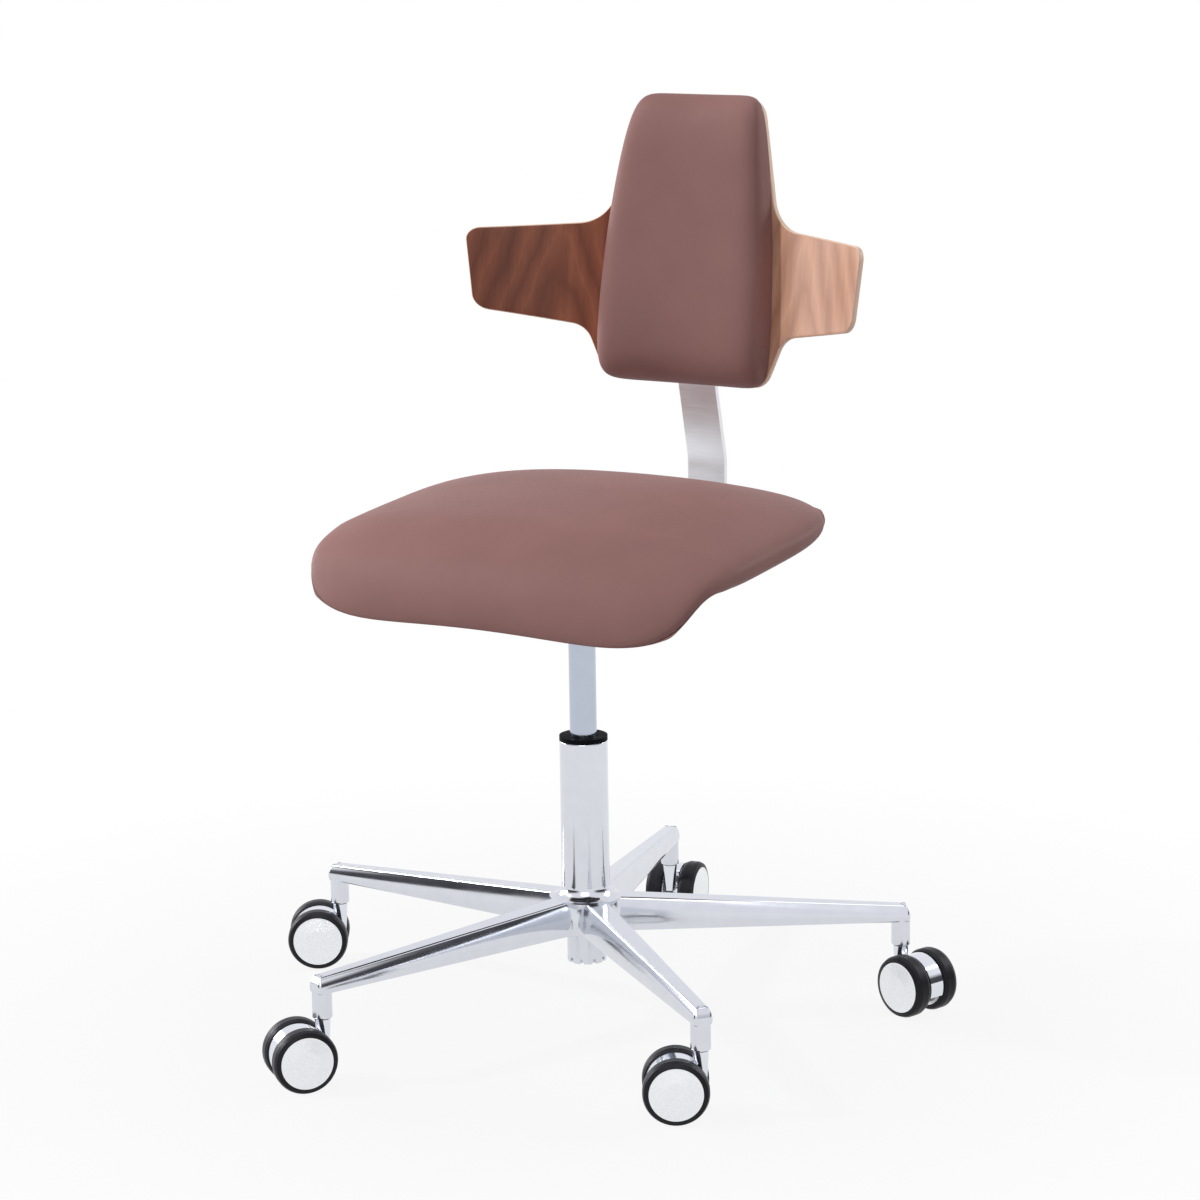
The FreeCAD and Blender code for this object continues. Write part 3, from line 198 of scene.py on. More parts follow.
def build(name, grids, uv=None, bands=None, crease=40.0, ring=None):
    """Object from point grids (points, close_rows, close_columns): doubles merged, faces turned outwards.

    uv holds one (rows, columns, 2) grid of texture places; bands gives the material number of each row of
    faces, or of each face; ring marks every point with its ring, 1 at a seam.
    """
    points, faces, start = [], [], 0
    for grid, close_rows, close_columns in grids:
        rows, columns = grid.shape[:2]
        points.append(grid.reshape(-1, 3))
        faces.append(grid_faces(rows, columns, start, close_rows, close_columns))
        start += rows * columns
    points, faces = np.concatenate(points), np.concatenate(faces)
    mesh = bpy.data.meshes.new(name)
    mesh.from_pydata(points.tolist(), [], faces.tolist())
    if uv is not None:
        layer = mesh.uv_layers.new(name="plan")
        layer.data.foreach_set("uv", uv.reshape(-1, 2)[faces.ravel()].ravel())
    if ring is not None:
        mesh.attributes.new("ring", "FLOAT", "POINT").data.foreach_set("value", ring.ravel())
    if bands is not None:
        per_row = len(faces) // len(bands)
        mesh.polygons.foreach_set("material_index", np.repeat(np.asarray(bands, np.int32), per_row))
    work = bmesh.new()
    work.from_mesh(mesh)
    bmesh.ops.remove_doubles(work, verts=work.verts, dist=2e-6)
    bmesh.ops.dissolve_degenerate(work, edges=work.edges, dist=1e-7)
    bmesh.ops.recalc_face_normals(work, faces=work.faces)
    work.to_mesh(mesh)
    work.free()
    mesh.polygons.foreach_set("use_smooth", np.ones(len(mesh.polygons), bool))
    mesh.set_sharp_from_angle(angle=math.radians(crease))
    piece = bpy.data.objects.new(name, mesh)
    bpy.context.scene.collection.objects.link(piece)
    return piece


def rounded_path(corners, arc_steps, run_steps):
    """Closed outline through corners (a, b, radius): tangent arcs at the corners and straight runs between.

    Returns its points and outward unit normals; the corners go anticlockwise.
    """
    table = np.array(corners, float)
    here, radius = table[:, :2], table[:, 2:]
    before = np.roll(here, 1, 0) - here
    after = np.roll(here, -1, 0) - here
    before /= np.linalg.norm(before, axis=1, keepdims=True)
    after /= np.linalg.norm(after, axis=1, keepdims=True)
    half = np.arccos(np.clip((before * after).sum(1, keepdims=True), -1, 1)) / 2
    inward = before + after
    inward /= np.linalg.norm(inward, axis=1, keepdims=True)
    centre = here + inward * radius / np.sin(half)
    turn = np.sign(before[:, :1] * after[:, 1:] - before[:, 1:] * after[:, :1])
    share = np.linspace(-1, 1, arc_steps)[None, :]
    middle = np.arctan2(-inward[:, 1:], -inward[:, :1])
    angle = middle - turn * share * (math.pi / 2 - half)
    arcs = centre[:, None, :] + radius[:, None, :] * np.stack([np.cos(angle), np.sin(angle)], -1)
    nxt = np.roll(arcs[:, 0], -1, 0)
    step = (np.arange(1, run_steps) / run_steps)[None, :, None]
    runs = arcs[:, -1:, :] * (1 - step) + nxt[:, None, :] * step
    points = np.concatenate([arcs, runs], 1).reshape(-1, 2)
    tangent = np.roll(points, -1, 0) - np.roll(points, 1, 0)
    tangent /= np.linalg.norm(tangent, axis=1, keepdims=True)
    return points, np.stack([tangent[:, 1], -tangent[:, 0]], -1)


def turned_shape(profile, steps=96):
    """Surface of revolution: a closed profile (radius, height) carried round the upright axis."""
    profile = np.asarray(profile, float)
    angle = np.linspace(0, 2 * math.pi, steps, endpoint=False)
    x = profile[:, :1] * np.cos(angle)
    y = profile[:, :1] * np.sin(angle)
    z = np.repeat(profile[:, 1:], steps, 1)
    return np.stack([x, y, z], -1)


def seat_place(points, tilt):
    """From the seat's tilted frame to the stool."""
    turn = np.array(Matrix.Rotation(tilt, 3, "X"))
    return points @ turn.T + SEAT_POINT


def back_place(points, lean):
    """From the back's frame (x across, -y forward, z up the lean) to the stool."""
    turn = np.array(Matrix.Rotation(-lean, 3, "X"))
    return points @ turn.T + BACK_POINT


# Soft pieces

def evaluated(piece, name):
    """Plain mesh of a piece with its modifiers."""
    seen = piece.evaluated_get(bpy.context.evaluated_depsgraph_get())
    mesh = bpy.data.meshes.new_from_object(seen)
    mesh.name = name
    return mesh


def places(mesh):
    """Points of a mesh as an array."""
    flat = np.empty(len(mesh.vertices) * 3)
    mesh.vertices.foreach_get("co", flat)
    return flat.reshape(-1, 3)


def evened(mesh, values, rounds):
    """Spreads a value over a cover: each point takes the mean of itself and its neighbours, round by round."""
    edges = np.empty(len(mesh.edges) * 2, np.int32)
    mesh.edges.foreach_get("vertices", edges)
    a, b = edges.reshape(-1, 2).T
    count = np.bincount(edges, minlength=len(values)) + 1
    for _ in range(rounds):
        around = np.bincount(a, values[b], len(values)) + np.bincount(b, values[a], len(values))
        values = (values + around) / count
    return values


def upholster(piece, swell):
    """Fills a form like foam under a cover: cloth blown up by pressure gives each point's outward swell.

    The swell is capped, held at the seam and evened out, so that the outline keeps its sweep.
    """
    rest = places(piece.data)
    cloth = piece.modifiers.new("cover", "CLOTH")
    cloth.settings.use_pressure = True
    cloth.settings.uniform_pressure_force = PRESSURE
    cloth.settings.effector_weights.gravity = 0.0
    scene = bpy.context.scene
    for number in range(1, LAST_FRAME + 1):
        scene.frame_set(number)
    blown = places(evaluated(piece, "blown"))
    piece.modifiers.clear()
    scene.frame_set(1)
    outward = np.empty(rest.size)
    piece.data.vertex_normals.foreach_get("vector", outward)
    outward = outward.reshape(-1, 3)
    ring = np.empty(len(rest))
    piece.data.attributes["ring"].data.foreach_get("value", ring)
    rise = np.clip(((blown - rest) * outward).sum(1), 0, swell) * np.clip((1 - ring) / SEAM_BAND, 0, 1) ** 2
    return rest + outward * evened(piece.data, rise, ROUNDS)[:, None]


def settle(piece, points):
    """Writes the final points and rounds the cover with one subdivision."""
    piece.data.vertices.foreach_set("co", points.ravel())
    piece.data.polygons.foreach_set("use_smooth", np.ones(len(piece.data.polygons), bool))
    piece.data.update()
    smooth = piece.modifiers.new("round", "SUBSURF")
    smooth.levels = smooth.render_levels = 1


def sheet_plan(columns, rows, corner):
    """Even grid on the plan |x|^p + |s|^p <= 1: the square's rings |a|, |b| <= m drawn in to its outline.

    With m' = 1 - (1 - m)^1.8, which gathers the rings at the rim, and k = (|a/m|^p + |b/m|^p)^(-1/p), a
    point goes to (a, b) m'/m k^(m^2). corner gives p from b. Returns x, s, how far out x lies, |x| / w(s),
    and m.
    """
    a, b = np.meshgrid(np.linspace(-1, 1, columns), np.linspace(-1, 1, rows))
    p = corner(b)
    m = np.maximum(np.maximum(np.abs(a), np.abs(b)), 1e-6)
    k = np.maximum(np.abs(a / m) ** p + np.abs(b / m) ** p, 1) ** (-1 / p)
    draw = (1 - (1 - m) ** 1.8) / m * k ** m ** 2
    x, s = a * draw, b * draw
    wide = np.maximum(1 - np.abs(s) ** p, 0) ** (1 / p)
    out = np.where(m > 1 - 1e-6, 1.0, np.minimum(np.abs(x) / np.maximum(wide, 1e-9), 1))
    return x, s, out, m


def seat_form(sizes, shrink):
    """Top and underside of the cushion in the seat's frame, joined at the rim.

    Along the seat s runs from -1 (rear) to 1 (front). Half width w = W (1 - |s|^p)^(1/p) and half thickness
    t = T (1 - |s|^2.74)^(1/1.37); each section is the superellipse |x/w|^2.5 + |n/t|^2.5 = 1, its sides
    lowered by fall (x/W)^2 and its lower half drawn in under the roll by
    0.79 exp(-((along - 0.1532) / 0.0325)^2).
    Past the roll's start the middle line turns down on a circle, and the front corners drop by (x/W)^2.
    """
    rear_corner, front_corner, end_power, side_power = 3.24, 4.86, 2.74, 2.5
    tuck_at, tuck_width, tuck_share = 0.1532, 0.0325, 0.79
    x, s, out, ring = sheet_plan(97, 83, lambda b: np.where(b < 0, rear_corner, front_corner))
    along = s * (np.where(s < 0, sizes.rear, sizes.front) - shrink)
    x = x * (sizes.half_width - shrink)
    side = (x / sizes.half_width) ** 2
    thick = sizes.rear_thickness + (sizes.front_thickness - sizes.rear_thickness) * (along + sizes.rear) / (
        sizes.rear + sizes.front)
    t = (thick - shrink) * np.maximum(1 - np.abs(s) ** end_power, 0) ** (2 / end_power)
    t = t * np.maximum(1 - out ** side_power, 0) ** (1 / side_power)
    drawn = np.exp(-((along - tuck_at) / tuck_width) ** 2)
    past = np.maximum(along - sizes.roll_start, 0)
    roll = past / sizes.roll_radius
    lower = sizes.corner_drop * past / (sizes.front - sizes.roll_start) * side
    sheets = []
    for n in (t, -t * (1 - tuck_share * drawn)):
        n = n - sizes.fall * (1 - drawn) * side
        y = -(np.minimum(along, sizes.roll_start) + sizes.roll_radius * np.sin(roll)) - n * np.sin(roll)
        z = -sizes.roll_radius * (1 - np.cos(roll)) + n * np.cos(roll) - lower
        sheets.append(np.stack([x, y, z], -1))
    return *sheets, np.stack([ring, ring])


def hollowed(points, margin):
    """Lifts what lies below the seat board to just above it.

    The least height is the board's level over the board and a margin round it, and falls off as
    14 d^2 + 0.4 d at the distance d from there.
    """
    beyond = np.maximum(np.abs(points[..., :2] - BOARD_MIDDLE) - BOARD_HALF + BOARD_CORNER, 0)
    away = np.maximum(np.linalg.norm(beyond, axis=-1) - BOARD_CORNER - margin, 0)
    lifted = np.maximum(points[..., 2], BOARD_LEVEL - 14 * away ** 2 - 0.4 * away)
    return np.concatenate([points[..., :2], lifted[..., None]], -1)


def pad_form(sizes, shrink):
    """Front and back of the pad in the back's frame, joined at the rim.

    Up the pad s runs from -1 (foot) to 1 (top), u = (s + 1) / 2. Half width w = W(u^2.45)
    (1 - |s|^11)^(1/11), thickness t = T(u) (1 - |s|^5)^(1/2); across the shell's cylinder, at the turn
    a = x / R, the front stands t (1 - |x/w|^6)^(1/6) (1.2 - 0.2 |x/w|^2) off the shell, and the back lies
    a small gap off it.
    """
    corner_power, taper, end_power, side_power, gap = 11.0, 2.45, 5, 6, 0.0004
    x, s, out, ring = sheet_plan(75, 107, lambda b: np.full_like(b, corner_power))
    u = (s + 1) / 2
    h = (sizes.pad_high + sizes.pad_low) / 2 + s * ((sizes.pad_high - sizes.pad_low) / 2 - shrink)
    x = x * (sizes.pad_foot + (sizes.pad_top - sizes.pad_foot) * u ** taper - shrink)
    t = sizes.pad_thickness + (sizes.pad_top_thickness - sizes.pad_thickness) * u - shrink
    t = t * np.maximum(1 - np.abs(s) ** end_power, 0) ** 0.5
    t = t * np.maximum(1 - out ** side_power, 0) ** (1 / side_power) * (1.2 - 0.2 * out ** 2)
    turn = x / sizes.curve
    sheets = []
    for stand in (t, np.zeros_like(t)):
        radius = sizes.curve - gap - stand
        sheets.append(np.stack([radius * np.sin(turn), radius * np.cos(turn) - sizes.curve, h], -1))
    return *sheets, np.stack([ring, ring])


# Back shell

def shell_form(sizes):
    """Bent cross with sanded edges, and its texture places.

    The outline o(u) lies in the front view. Rows run from the middle of the front face to its edge,
    round the edge and back to the middle of the rear face; x and h follow the outline, drawn in, and the
    depth is y = sqrt(R^2 - x^2) - R in front and the same with R + thickness behind.
    """
    # across, up and corner radius in mm, from the foot to the top
    right = [(97, -12.5, 24), (121, 41, 26), (229.5, 54, 18),
             (240, 139, 13), (102.5, 154, 42), (73.5, 288.5, 25)]
    left = [(-x, h, r) for x, h, r in reversed(right)]
    outline, normal = rounded_path([(x * MM, h * MM, r * MM) for x, h, r in right + left], 13, 14)
    middle = np.array([0, 0.097])
    inset = outline - normal * sizes.edge
    out = np.linspace(0, 1, 16)[:, None, None]
    face = middle + out * (inset - middle)
    quarter = np.linspace(0, math.pi / 2, 7)[1:, None, None]
    front_arc = inset + normal * sizes.edge * np.sin(quarter)
    plan = np.concatenate([face, front_arc, front_arc[::-1], face[::-1]])
    dip = np.concatenate([np.zeros(16), sizes.edge * (1 - np.cos(quarter.ravel()))])
    depth = np.concatenate([dip, sizes.thickness - dip[::-1]])[:, None]
    x, h = plan[..., 0], plan[..., 1]
    front = np.sqrt(sizes.curve ** 2 - x ** 2) - sizes.curve
    rear = np.sqrt((sizes.curve + sizes.thickness) ** 2 - x ** 2) - sizes.curve
    y = front + (rear - front) * depth / sizes.thickness
    points = np.stack([x, y, h], -1)
    run = np.cumsum(np.linalg.norm(np.diff(outline, axis=0, append=outline[:1]), axis=1))
    uv = plan.copy()
    band = slice(17, 27)
    uv[band, :, 0] = run
    uv[band, :, 1] = depth[band]
    bands = np.zeros(len(plan) - 1, int)
    bands[17:26] = 1
    return points, uv, bands


# Cast base

def base_grids(base):
    """Star of five arms, the column and five legs, as closed grids.

    Star: the outline o(u) drawn in by an inset along its normal, then led to the arm's middle line m(u);
    the top and underside slope with the distance from the axis. The sides lean in by belly v^2 above a
    quarter of their height, the underside is hollowed between its walls, and a five-sided shaft leaves the
    middle open for the lift. The column and the legs are turned shapes.
    """
    reach, mouth, first, count = 0.338, 0.0225, math.radians(33.4), 5
    tip_half, tip_corner, root_half, root_corner = 0.010, 0.0035, 0.0155, 0.011
    channel_start, channel_end, leg_at, foot_round = 0.046, 0.316, 0.3288, 0.0015
    half_step = math.pi / count
    turns = first + 2 * half_step * np.arange(count)
    corners = []
    for along in turns:
        ahead = np.array([math.cos(along), math.sin(along)])
        across = np.array([-ahead[1], ahead[0]])
        for side in (-1, 1):
            corners.append((*(reach * ahead + side * tip_half * across), tip_corner))
        between = along + half_step
        pocket = root_half / math.sin(half_step)
        corners.append((pocket * math.cos(between), pocket * math.sin(between), root_corner))
    outline, normal = rounded_path(corners, 15, 40)
    angle = np.arctan2(outline[:, 1], outline[:, 0])
    arm = first + np.round((angle - first) / (2 * half_step)) * 2 * half_step
    axis = np.stack([np.cos(arm), np.sin(arm)], -1)
    along = (outline * axis).sum(1)
    nearest = along.min()
    inner = along - nearest * np.exp(-(along - nearest) / 0.025)
    spine = axis * np.clip(inner, mouth, reach - 0.0105)[:, None]
    hollow = np.clip((along - channel_start) / 0.008, 0, 1) * np.clip((channel_end - along) / 0.006, 0, 1)

    def row(share, inset, level, lift):
        """One row: drawn in, led to the middle line by share, at a level from 0 (foot) to 1 (top)."""
        plan = (outline - normal * inset) * (1 - share) + spine * share
        r = np.linalg.norm(plan, axis=1)
        top = base.root_top + (base.tip_top - base.root_top) * r / reach
        low = base.root_low + (base.tip_low - base.root_low) * r / reach
        return np.concatenate([plan, (low + (top - low) * level + lift)[:, None]], 1)

    e, belly = base.edge, base.belly
    rows = [row(share, e + belly, 1, 0) for share in np.linspace(1, 0, 7)[:-1]]
    rows += [row(0, e + belly + 0.0008, 1, 0), row(0, e + belly, 1, 0)]
    for a in np.linspace(0, math.pi / 2 - 0.2, 8)[1:]:
        rows.append(row(0, belly + e - e * math.sin(a), 1, -e * (1 - math.cos(a))))
    edge_drop = e * (1 - math.sin(0.2))
    edge_inset = belly + e - e * math.cos(0.2)
    for v in np.linspace(1, 0, 16)[1:]:
        lean = max(0.0, (v - 0.25) / 0.75) ** 2
        tuck = max(0.0, (0.25 - v) / 0.25) ** 2
        rows.append(row(0, edge_inset * lean + 0.0005 * tuck, v, -edge_drop * v + foot_round * (1 - v)))
    for a in np.linspace(0, math.pi / 2, 6)[1:]:
        rows.append(row(0, 0.0005 + foot_round * (1 - math.cos(a)), 0, foot_round * (1 - math.sin(a))))
    rows.append(row(0, base.wall, 0, 0))
    for share in np.linspace(0, 1, 7):
        under = row(share, base.wall + 0.0003, 0, 0)
        roof = row(share, base.wall + 0.0003, 1, -base.wall)
        under[:, 2] += (roof[:, 2] - under[:, 2]) * hollow
        rows.append(under)
    star = np.stack(rows)

    outer, bore, lip, flare_out, flare_round = 0.025, 0.022, 0.017, 0.038, 0.013
    flare = np.linspace(0, math.pi / 2, 12)
    flare_z = base.root_top + (base.tip_top - base.root_top) * flare_out / reach
    head, foot = base.column_top, base.root_low
    profile = [(flare_out - flare_round * math.sin(a), flare_z + flare_round * (1 - math.cos(a)))
               for a in flare]
    profile += [(outer, flare_z + 0.0135), (outer, 0.18), (outer, 0.24), (outer, head - 0.0011)]
    profile += [(outer, head - 0.0006), (0.0248, head - 0.0002), (0.0244, head), (0.024, head), (bore, head)]
    profile += [(bore, foot + 0.014), (lip, foot + 0.014), (lip, foot), (outer, foot), (outer, foot + 0.02)]
    column = turned_shape(profile, 160)

    leg_profile = np.array([(0.0001, 0.1), (0.010, 0.1), (0.010, 0.085), (0.010, 0.0704), (0.010, 0.0698),
                            (0.0098, 0.0693), (0.0093, 0.069), (0.0088, 0.069), (0.0056, 0.069),
                            (0.0056, 0.099), (0.0001, 0.099)])
    leg = turned_shape(leg_profile, 64)
    leg[..., 0] = np.minimum(leg[..., 0], 0.0092) + leg_at
    share = mouth / reach
    shaft = turned_shape([(mouth, base.root_top + (base.tip_top - base.root_top) * share),
                          (mouth, base.root_low + (base.tip_low - base.root_low) * share)], count)
    shaft = shaft @ np.array(Matrix.Rotation(first, 3, "Z")).T
    grids = [(star, False, True), (shaft, False, True), (column, True, True)]
    for turn in turns:
        matrix = np.array(Matrix.Rotation(turn, 3, "Z"))
        grids.append((leg @ matrix.T, False, True))
    return grids


# Finishes

class Tree:
    """A node tree under way: adds nodes, sets their sockets and links them."""

    def __init__(self, owner):
        owner.use_nodes = True
        self.nodes, self.links = owner.node_tree.nodes, owner.node_tree.links

    def put(self, node, values):
        """Sets or links a node's sockets, by name or number."""
        for key, value in values.items():
            if isinstance(value, bpy.types.NodeSocket):
                self.links.new(value, node.inputs[key])
            else:
                node.inputs[key].default_value = value
        return node

    def add(self, kind, values=(), **settings):
        """New node of a kind, with its settings and sockets."""
        node = self.nodes.new("ShaderNode" + kind)
        for key, value in settings.items():
            setattr(node, key, value)
        return self.put(node, dict(values))

    def calc(self, kind, a, b=0.0):
        """One step of arithmetic."""
        return self.add("Math", {0: a, 1: b}, operation=kind).outputs["Value"]

    def largest(self, *values):
        """The largest of several values."""
        result = values[0]
        for value in values[1:]:
            result = self.calc("MAXIMUM", result, value)
        return result

    def mix(self, factor, a, b):
        """Colour between a and b."""
        node = self.add("Mix", data_type="RGBA")
        for key, value in ((0, factor), (6, a), (7, b)):
            value = (*value, 1.0) if isinstance(value, tuple) else value
            self.put(node, {key: value})
        return node.outputs[2]


class Finish(Tree):
    """A material under way: its Principled shader and the nodes that feed it."""

    def __init__(self, name, colour, rough, metallic=0.0, **sockets):
        self.material = bpy.data.materials.new(name)
        super().__init__(self.material)
        self.shader = self.nodes["Principled BSDF"]
        self.put(self.shader, {"Base Color": (*colour, 1.0), "Roughness": rough, "Metallic": metallic})
        self.put(self.shader, {key.replace("_", " "): value for key, value in sockets.items()})

    def place(self, scale=(1, 1, 1), turn=(0, 0, 0), shift=(0, 0, 0), by="Object"):
        """Texture place on the piece, stretched, turned and shifted."""
        source = self.add("TexCoord").outputs[by]
        return self.add("Mapping", {"Vector": source, "Scale": scale, "Rotation": turn,
                                    "Location": shift}).outputs["Vector"]

    def noise(self, vector, scale, detail=3.0, rough=0.5):
        """Noise from 0 to 1."""
        return self.add("TexNoise", {"Vector": vector, "Scale": scale, "Detail": detail,
                                     "Roughness": rough}).outputs["Fac"]

    def spread(self, value, low, high, start=0.3, end=0.7):
        """Maps a texture's middle range to low and high."""
        return self.add("MapRange", {"Value": value, "From Min": start, "From Max": end, "To Min": low,
                                     "To Max": high}).outputs["Result"]

    def bump(self, height, strength, distance):
        """Small relief from a height."""
        relief = self.add("Bump", {"Height": height, "Strength": strength, "Distance": distance})
        self.put(self.shader, {"Normal": relief.outputs["Normal"]})

    def feed(self, socket, value):
        """Links a value to one of the shader's sockets."""
        self.put(self.shader, {socket: value})


def scaled(colour, factor):
    """A colour made lighter or darker."""
    return tuple(min(1.0, c * factor) for c in colour)


def cover_finish(colours):
    """Smooth leatherette: a fine pebbled grain with a soft sheen and slow drifts of tone."""
    f = Finish("cover_leatherette", colours.cover, 0.55, Specular_IOR_Level=0.12, Sheen_Weight=0.03,
               Sheen_Roughness=0.4)
    here = f.place()
    drift = f.spread(f.noise(here, 14.0, 4.0), 0.0, 1.0)
    f.feed("Base Color", f.mix(drift, scaled(colours.cover, 0.95), scaled(colours.cover, 1.05)))
    pebble = f.add("TexVoronoi", {"Vector": here, "Scale": 820.0}, feature="SMOOTH_F1").outputs["Distance"]
    crease = f.noise(here, 260.0, 4.0)
    f.feed("Roughness", f.spread(crease, 0.5, 0.62))
    f.bump(f.calc("ADD", pebble, crease), 0.16, 0.00025)
    return f.material


def walnut_finish(colours):
    """Book-matched walnut veneer, a leaf on each side of the middle.

    Arched growth rings g = 95 sqrt((|x| - x0)^2 + c^2) + 26 h, wavered by noise, give broad bands
    sin(2.6 g), with thin pale lines at their crests and dark ones in their troughs; fine pores run up the
    leaf. The right leaf is painted paler: a painted sheen standing in for the key light from the left on that
    wing.
    """
    f = Finish("walnut_veneer", colours.walnut, 0.4, Specular_IOR_Level=0.14, Coat_Weight=0.08,
               Coat_Roughness=0.25)
    parts = f.add("SeparateXYZ", {"Vector": f.place(by="UV")}).outputs
    side = f.calc("SUBTRACT", f.calc("ABSOLUTE", parts["X"]), 0.148)
    waver = f.noise(f.place(scale=(18, 7, 1), by="UV"), 1.0, 3.0)
    side = f.calc("ADD", side, f.spread(waver, -0.02, 0.02, 0.0, 1.0))
    arch = f.calc("SQRT", f.calc("ADD", f.calc("MULTIPLY", side, side), 0.00010), 0.0)
    ring = f.calc("ADD", f.calc("MULTIPLY", arch, 95.0), f.calc("MULTIPLY", parts["Y"], 26.0))
    ripple = f.noise(f.place(scale=(40, 9, 1), by="UV"), 1.0, 4.0)
    ring = f.calc("ADD", ring, f.calc("MULTIPLY", ripple, 1.6))
    wave = f.calc("SINE", f.calc("MULTIPLY", ring, 2.6), 0.0)
    broad = f.noise(f.place(scale=(34, 3, 1), by="UV"), 1.0, 3.0)
    streak = f.noise(f.place(scale=(220, 6, 1), by="UV"), 1.0, 3.0)
    tone = f.calc("ADD", f.spread(wave, 0.05, 0.5, -1.0, 1.0), f.spread(broad, -0.1, 0.45))
    tone = f.calc("ADD", tone, f.spread(streak, -0.12, 0.12))
    crest = f.spread(wave, 0.0, 0.2, 0.9, 1.0)
    trough = f.spread(wave, 0.4, 0.0, -1.0, -0.8)
    pores = f.spread(f.noise(f.place(scale=(900, 45, 1), by="UV"), 1.0, 2.0), 0.0, 0.45, 0.56, 0.72)
    # leaf runs from 0 on the left to 1 on the right and mixes in the right leaf's painted sheen, crest lines
    # included
    leaf = f.spread(parts["X"], 0.0, 1.0, -0.02, 0.02)
    light = f.mix(leaf, colours.walnut[:], colours.walnut_painted_sheen[:])
    dark = f.mix(leaf, colours.walnut_dark[:], colours.walnut_grain_painted_sheen[:])
    face = f.mix(tone, dark, light)
    line = f.mix(leaf, scaled(colours.walnut, 1.3), scaled(colours.walnut_painted_sheen, 1.15))
    face = f.mix(trough, f.mix(crest, face, line), dark)
    f.feed("Base Color", f.mix(pores, face, dark))
    f.feed("Roughness", f.spread(broad, 0.32, 0.42))
    f.bump(pores, 0.08, -0.0001)
    return f.material


def ply_finish(colours):
    """Sanded ply edge: thin layers across the thickness and end-grain flecks along it."""
    f = Finish("ply_edge", colours.ply, 0.55)
    depth = f.add("SeparateXYZ", {"Vector": f.place(by="UV")}).outputs["Y"]
    layers = f.calc("SINE", f.calc("MULTIPLY", depth, 4700.0), 0.0)
    fleck = f.noise(f.place(scale=(500, 2500, 500), by="UV"), 1.0, 2.0)
    tone = f.calc("ADD", f.spread(layers, 0.0, 0.5, -1, 1), f.spread(fleck, 0.0, 0.5))
    f.feed("Base Color", f.mix(tone, scaled(colours.ply, 0.86), scaled(colours.ply, 1.03)))
    f.feed("Roughness", f.spread(fleck, 0.48, 0.62))
    return f.material


def polish_finish(name, colour, rough, ripple):
    """Polished metal: faint clouding of the gloss and the slight ripple that buffing leaves."""
    f = Finish(name, colour, rough, 1.0)
    here = f.place()
    cloud = f.noise(here, 26.0, 4.0)
    f.feed("Roughness", f.spread(cloud, rough * 0.75, rough * 1.3))
    stain = f.spread(f.noise(here, 60.0), 0.0, 1.0)
    f.feed("Base Color", f.mix(stain, scaled(colour, 0.96), scaled(colour, 1.0)))
    f.bump(f.noise(here, 45.0, 2.0), ripple, 0.0006)
    return f.material


def brushed_finish(name, colour, rough):
    """Brushed steel: fine lines across the bar that break up the gloss."""
    f = Finish(name, colour, rough, 0.8, Anisotropic=0.4)
    lines = f.noise(f.place(scale=(40, 2600, 2600)), 1.0, 3.0)
    f.feed("Roughness", f.spread(lines, rough * 0.8, rough * 1.25))
    f.feed("Base Color", f.mix(f.spread(lines, 0.0, 1.0), scaled(colour, 0.93), scaled(colour, 1.03)))
    f.bump(lines, 0.05, 0.0001)
    return f.material


def moulded_finish(name, colour, rough, grain=700.0, gloss=0.25, metallic=0.0):
    """Moulded plastic, rubber or cloth, plain or with a metal film: a fine texture with uneven gloss."""
    f = Finish(name, colour, rough, metallic, Specular_IOR_Level=gloss)
    here = f.place()
    texture = f.noise(here, grain, 3.0)
    f.feed("Roughness", f.spread(f.noise(here, 90.0, 3.0), rough * 0.88, rough * 1.12))
    f.feed("Base Color", f.mix(f.spread(texture, 0.0, 1.0), scaled(colour, 0.93), scaled(colour, 1.07)))
    f.bump(texture, 0.1, 0.0001)
    return f.material


def painted_finish(name, colour, rough):
    """Powder-coated steel: small orange-peel dimples."""
    f = Finish(name, colour, rough)
    here = f.place()
    peel = f.noise(here, 420.0, 2.0)
    f.feed("Roughness", f.spread(f.noise(here, 120.0), rough * 0.85, rough * 1.15))
    f.feed("Base Color", f.mix(f.spread(peel, 0.0, 1.0), scaled(colour, 0.92), scaled(colour, 1.08)))
    f.bump(peel, 0.2, 0.0002)
    return f.material


def dress(material, *names):
    """Gives CAD nodes a finish."""
    for name in names:
        slots = NODES[name].data.materials
        slots.clear()
        slots.append(material)


def caster_nodes(part):
    """Names of one part on all five casters."""
    return [f"caster_{number}_{part}" for number in range(1, 6)]


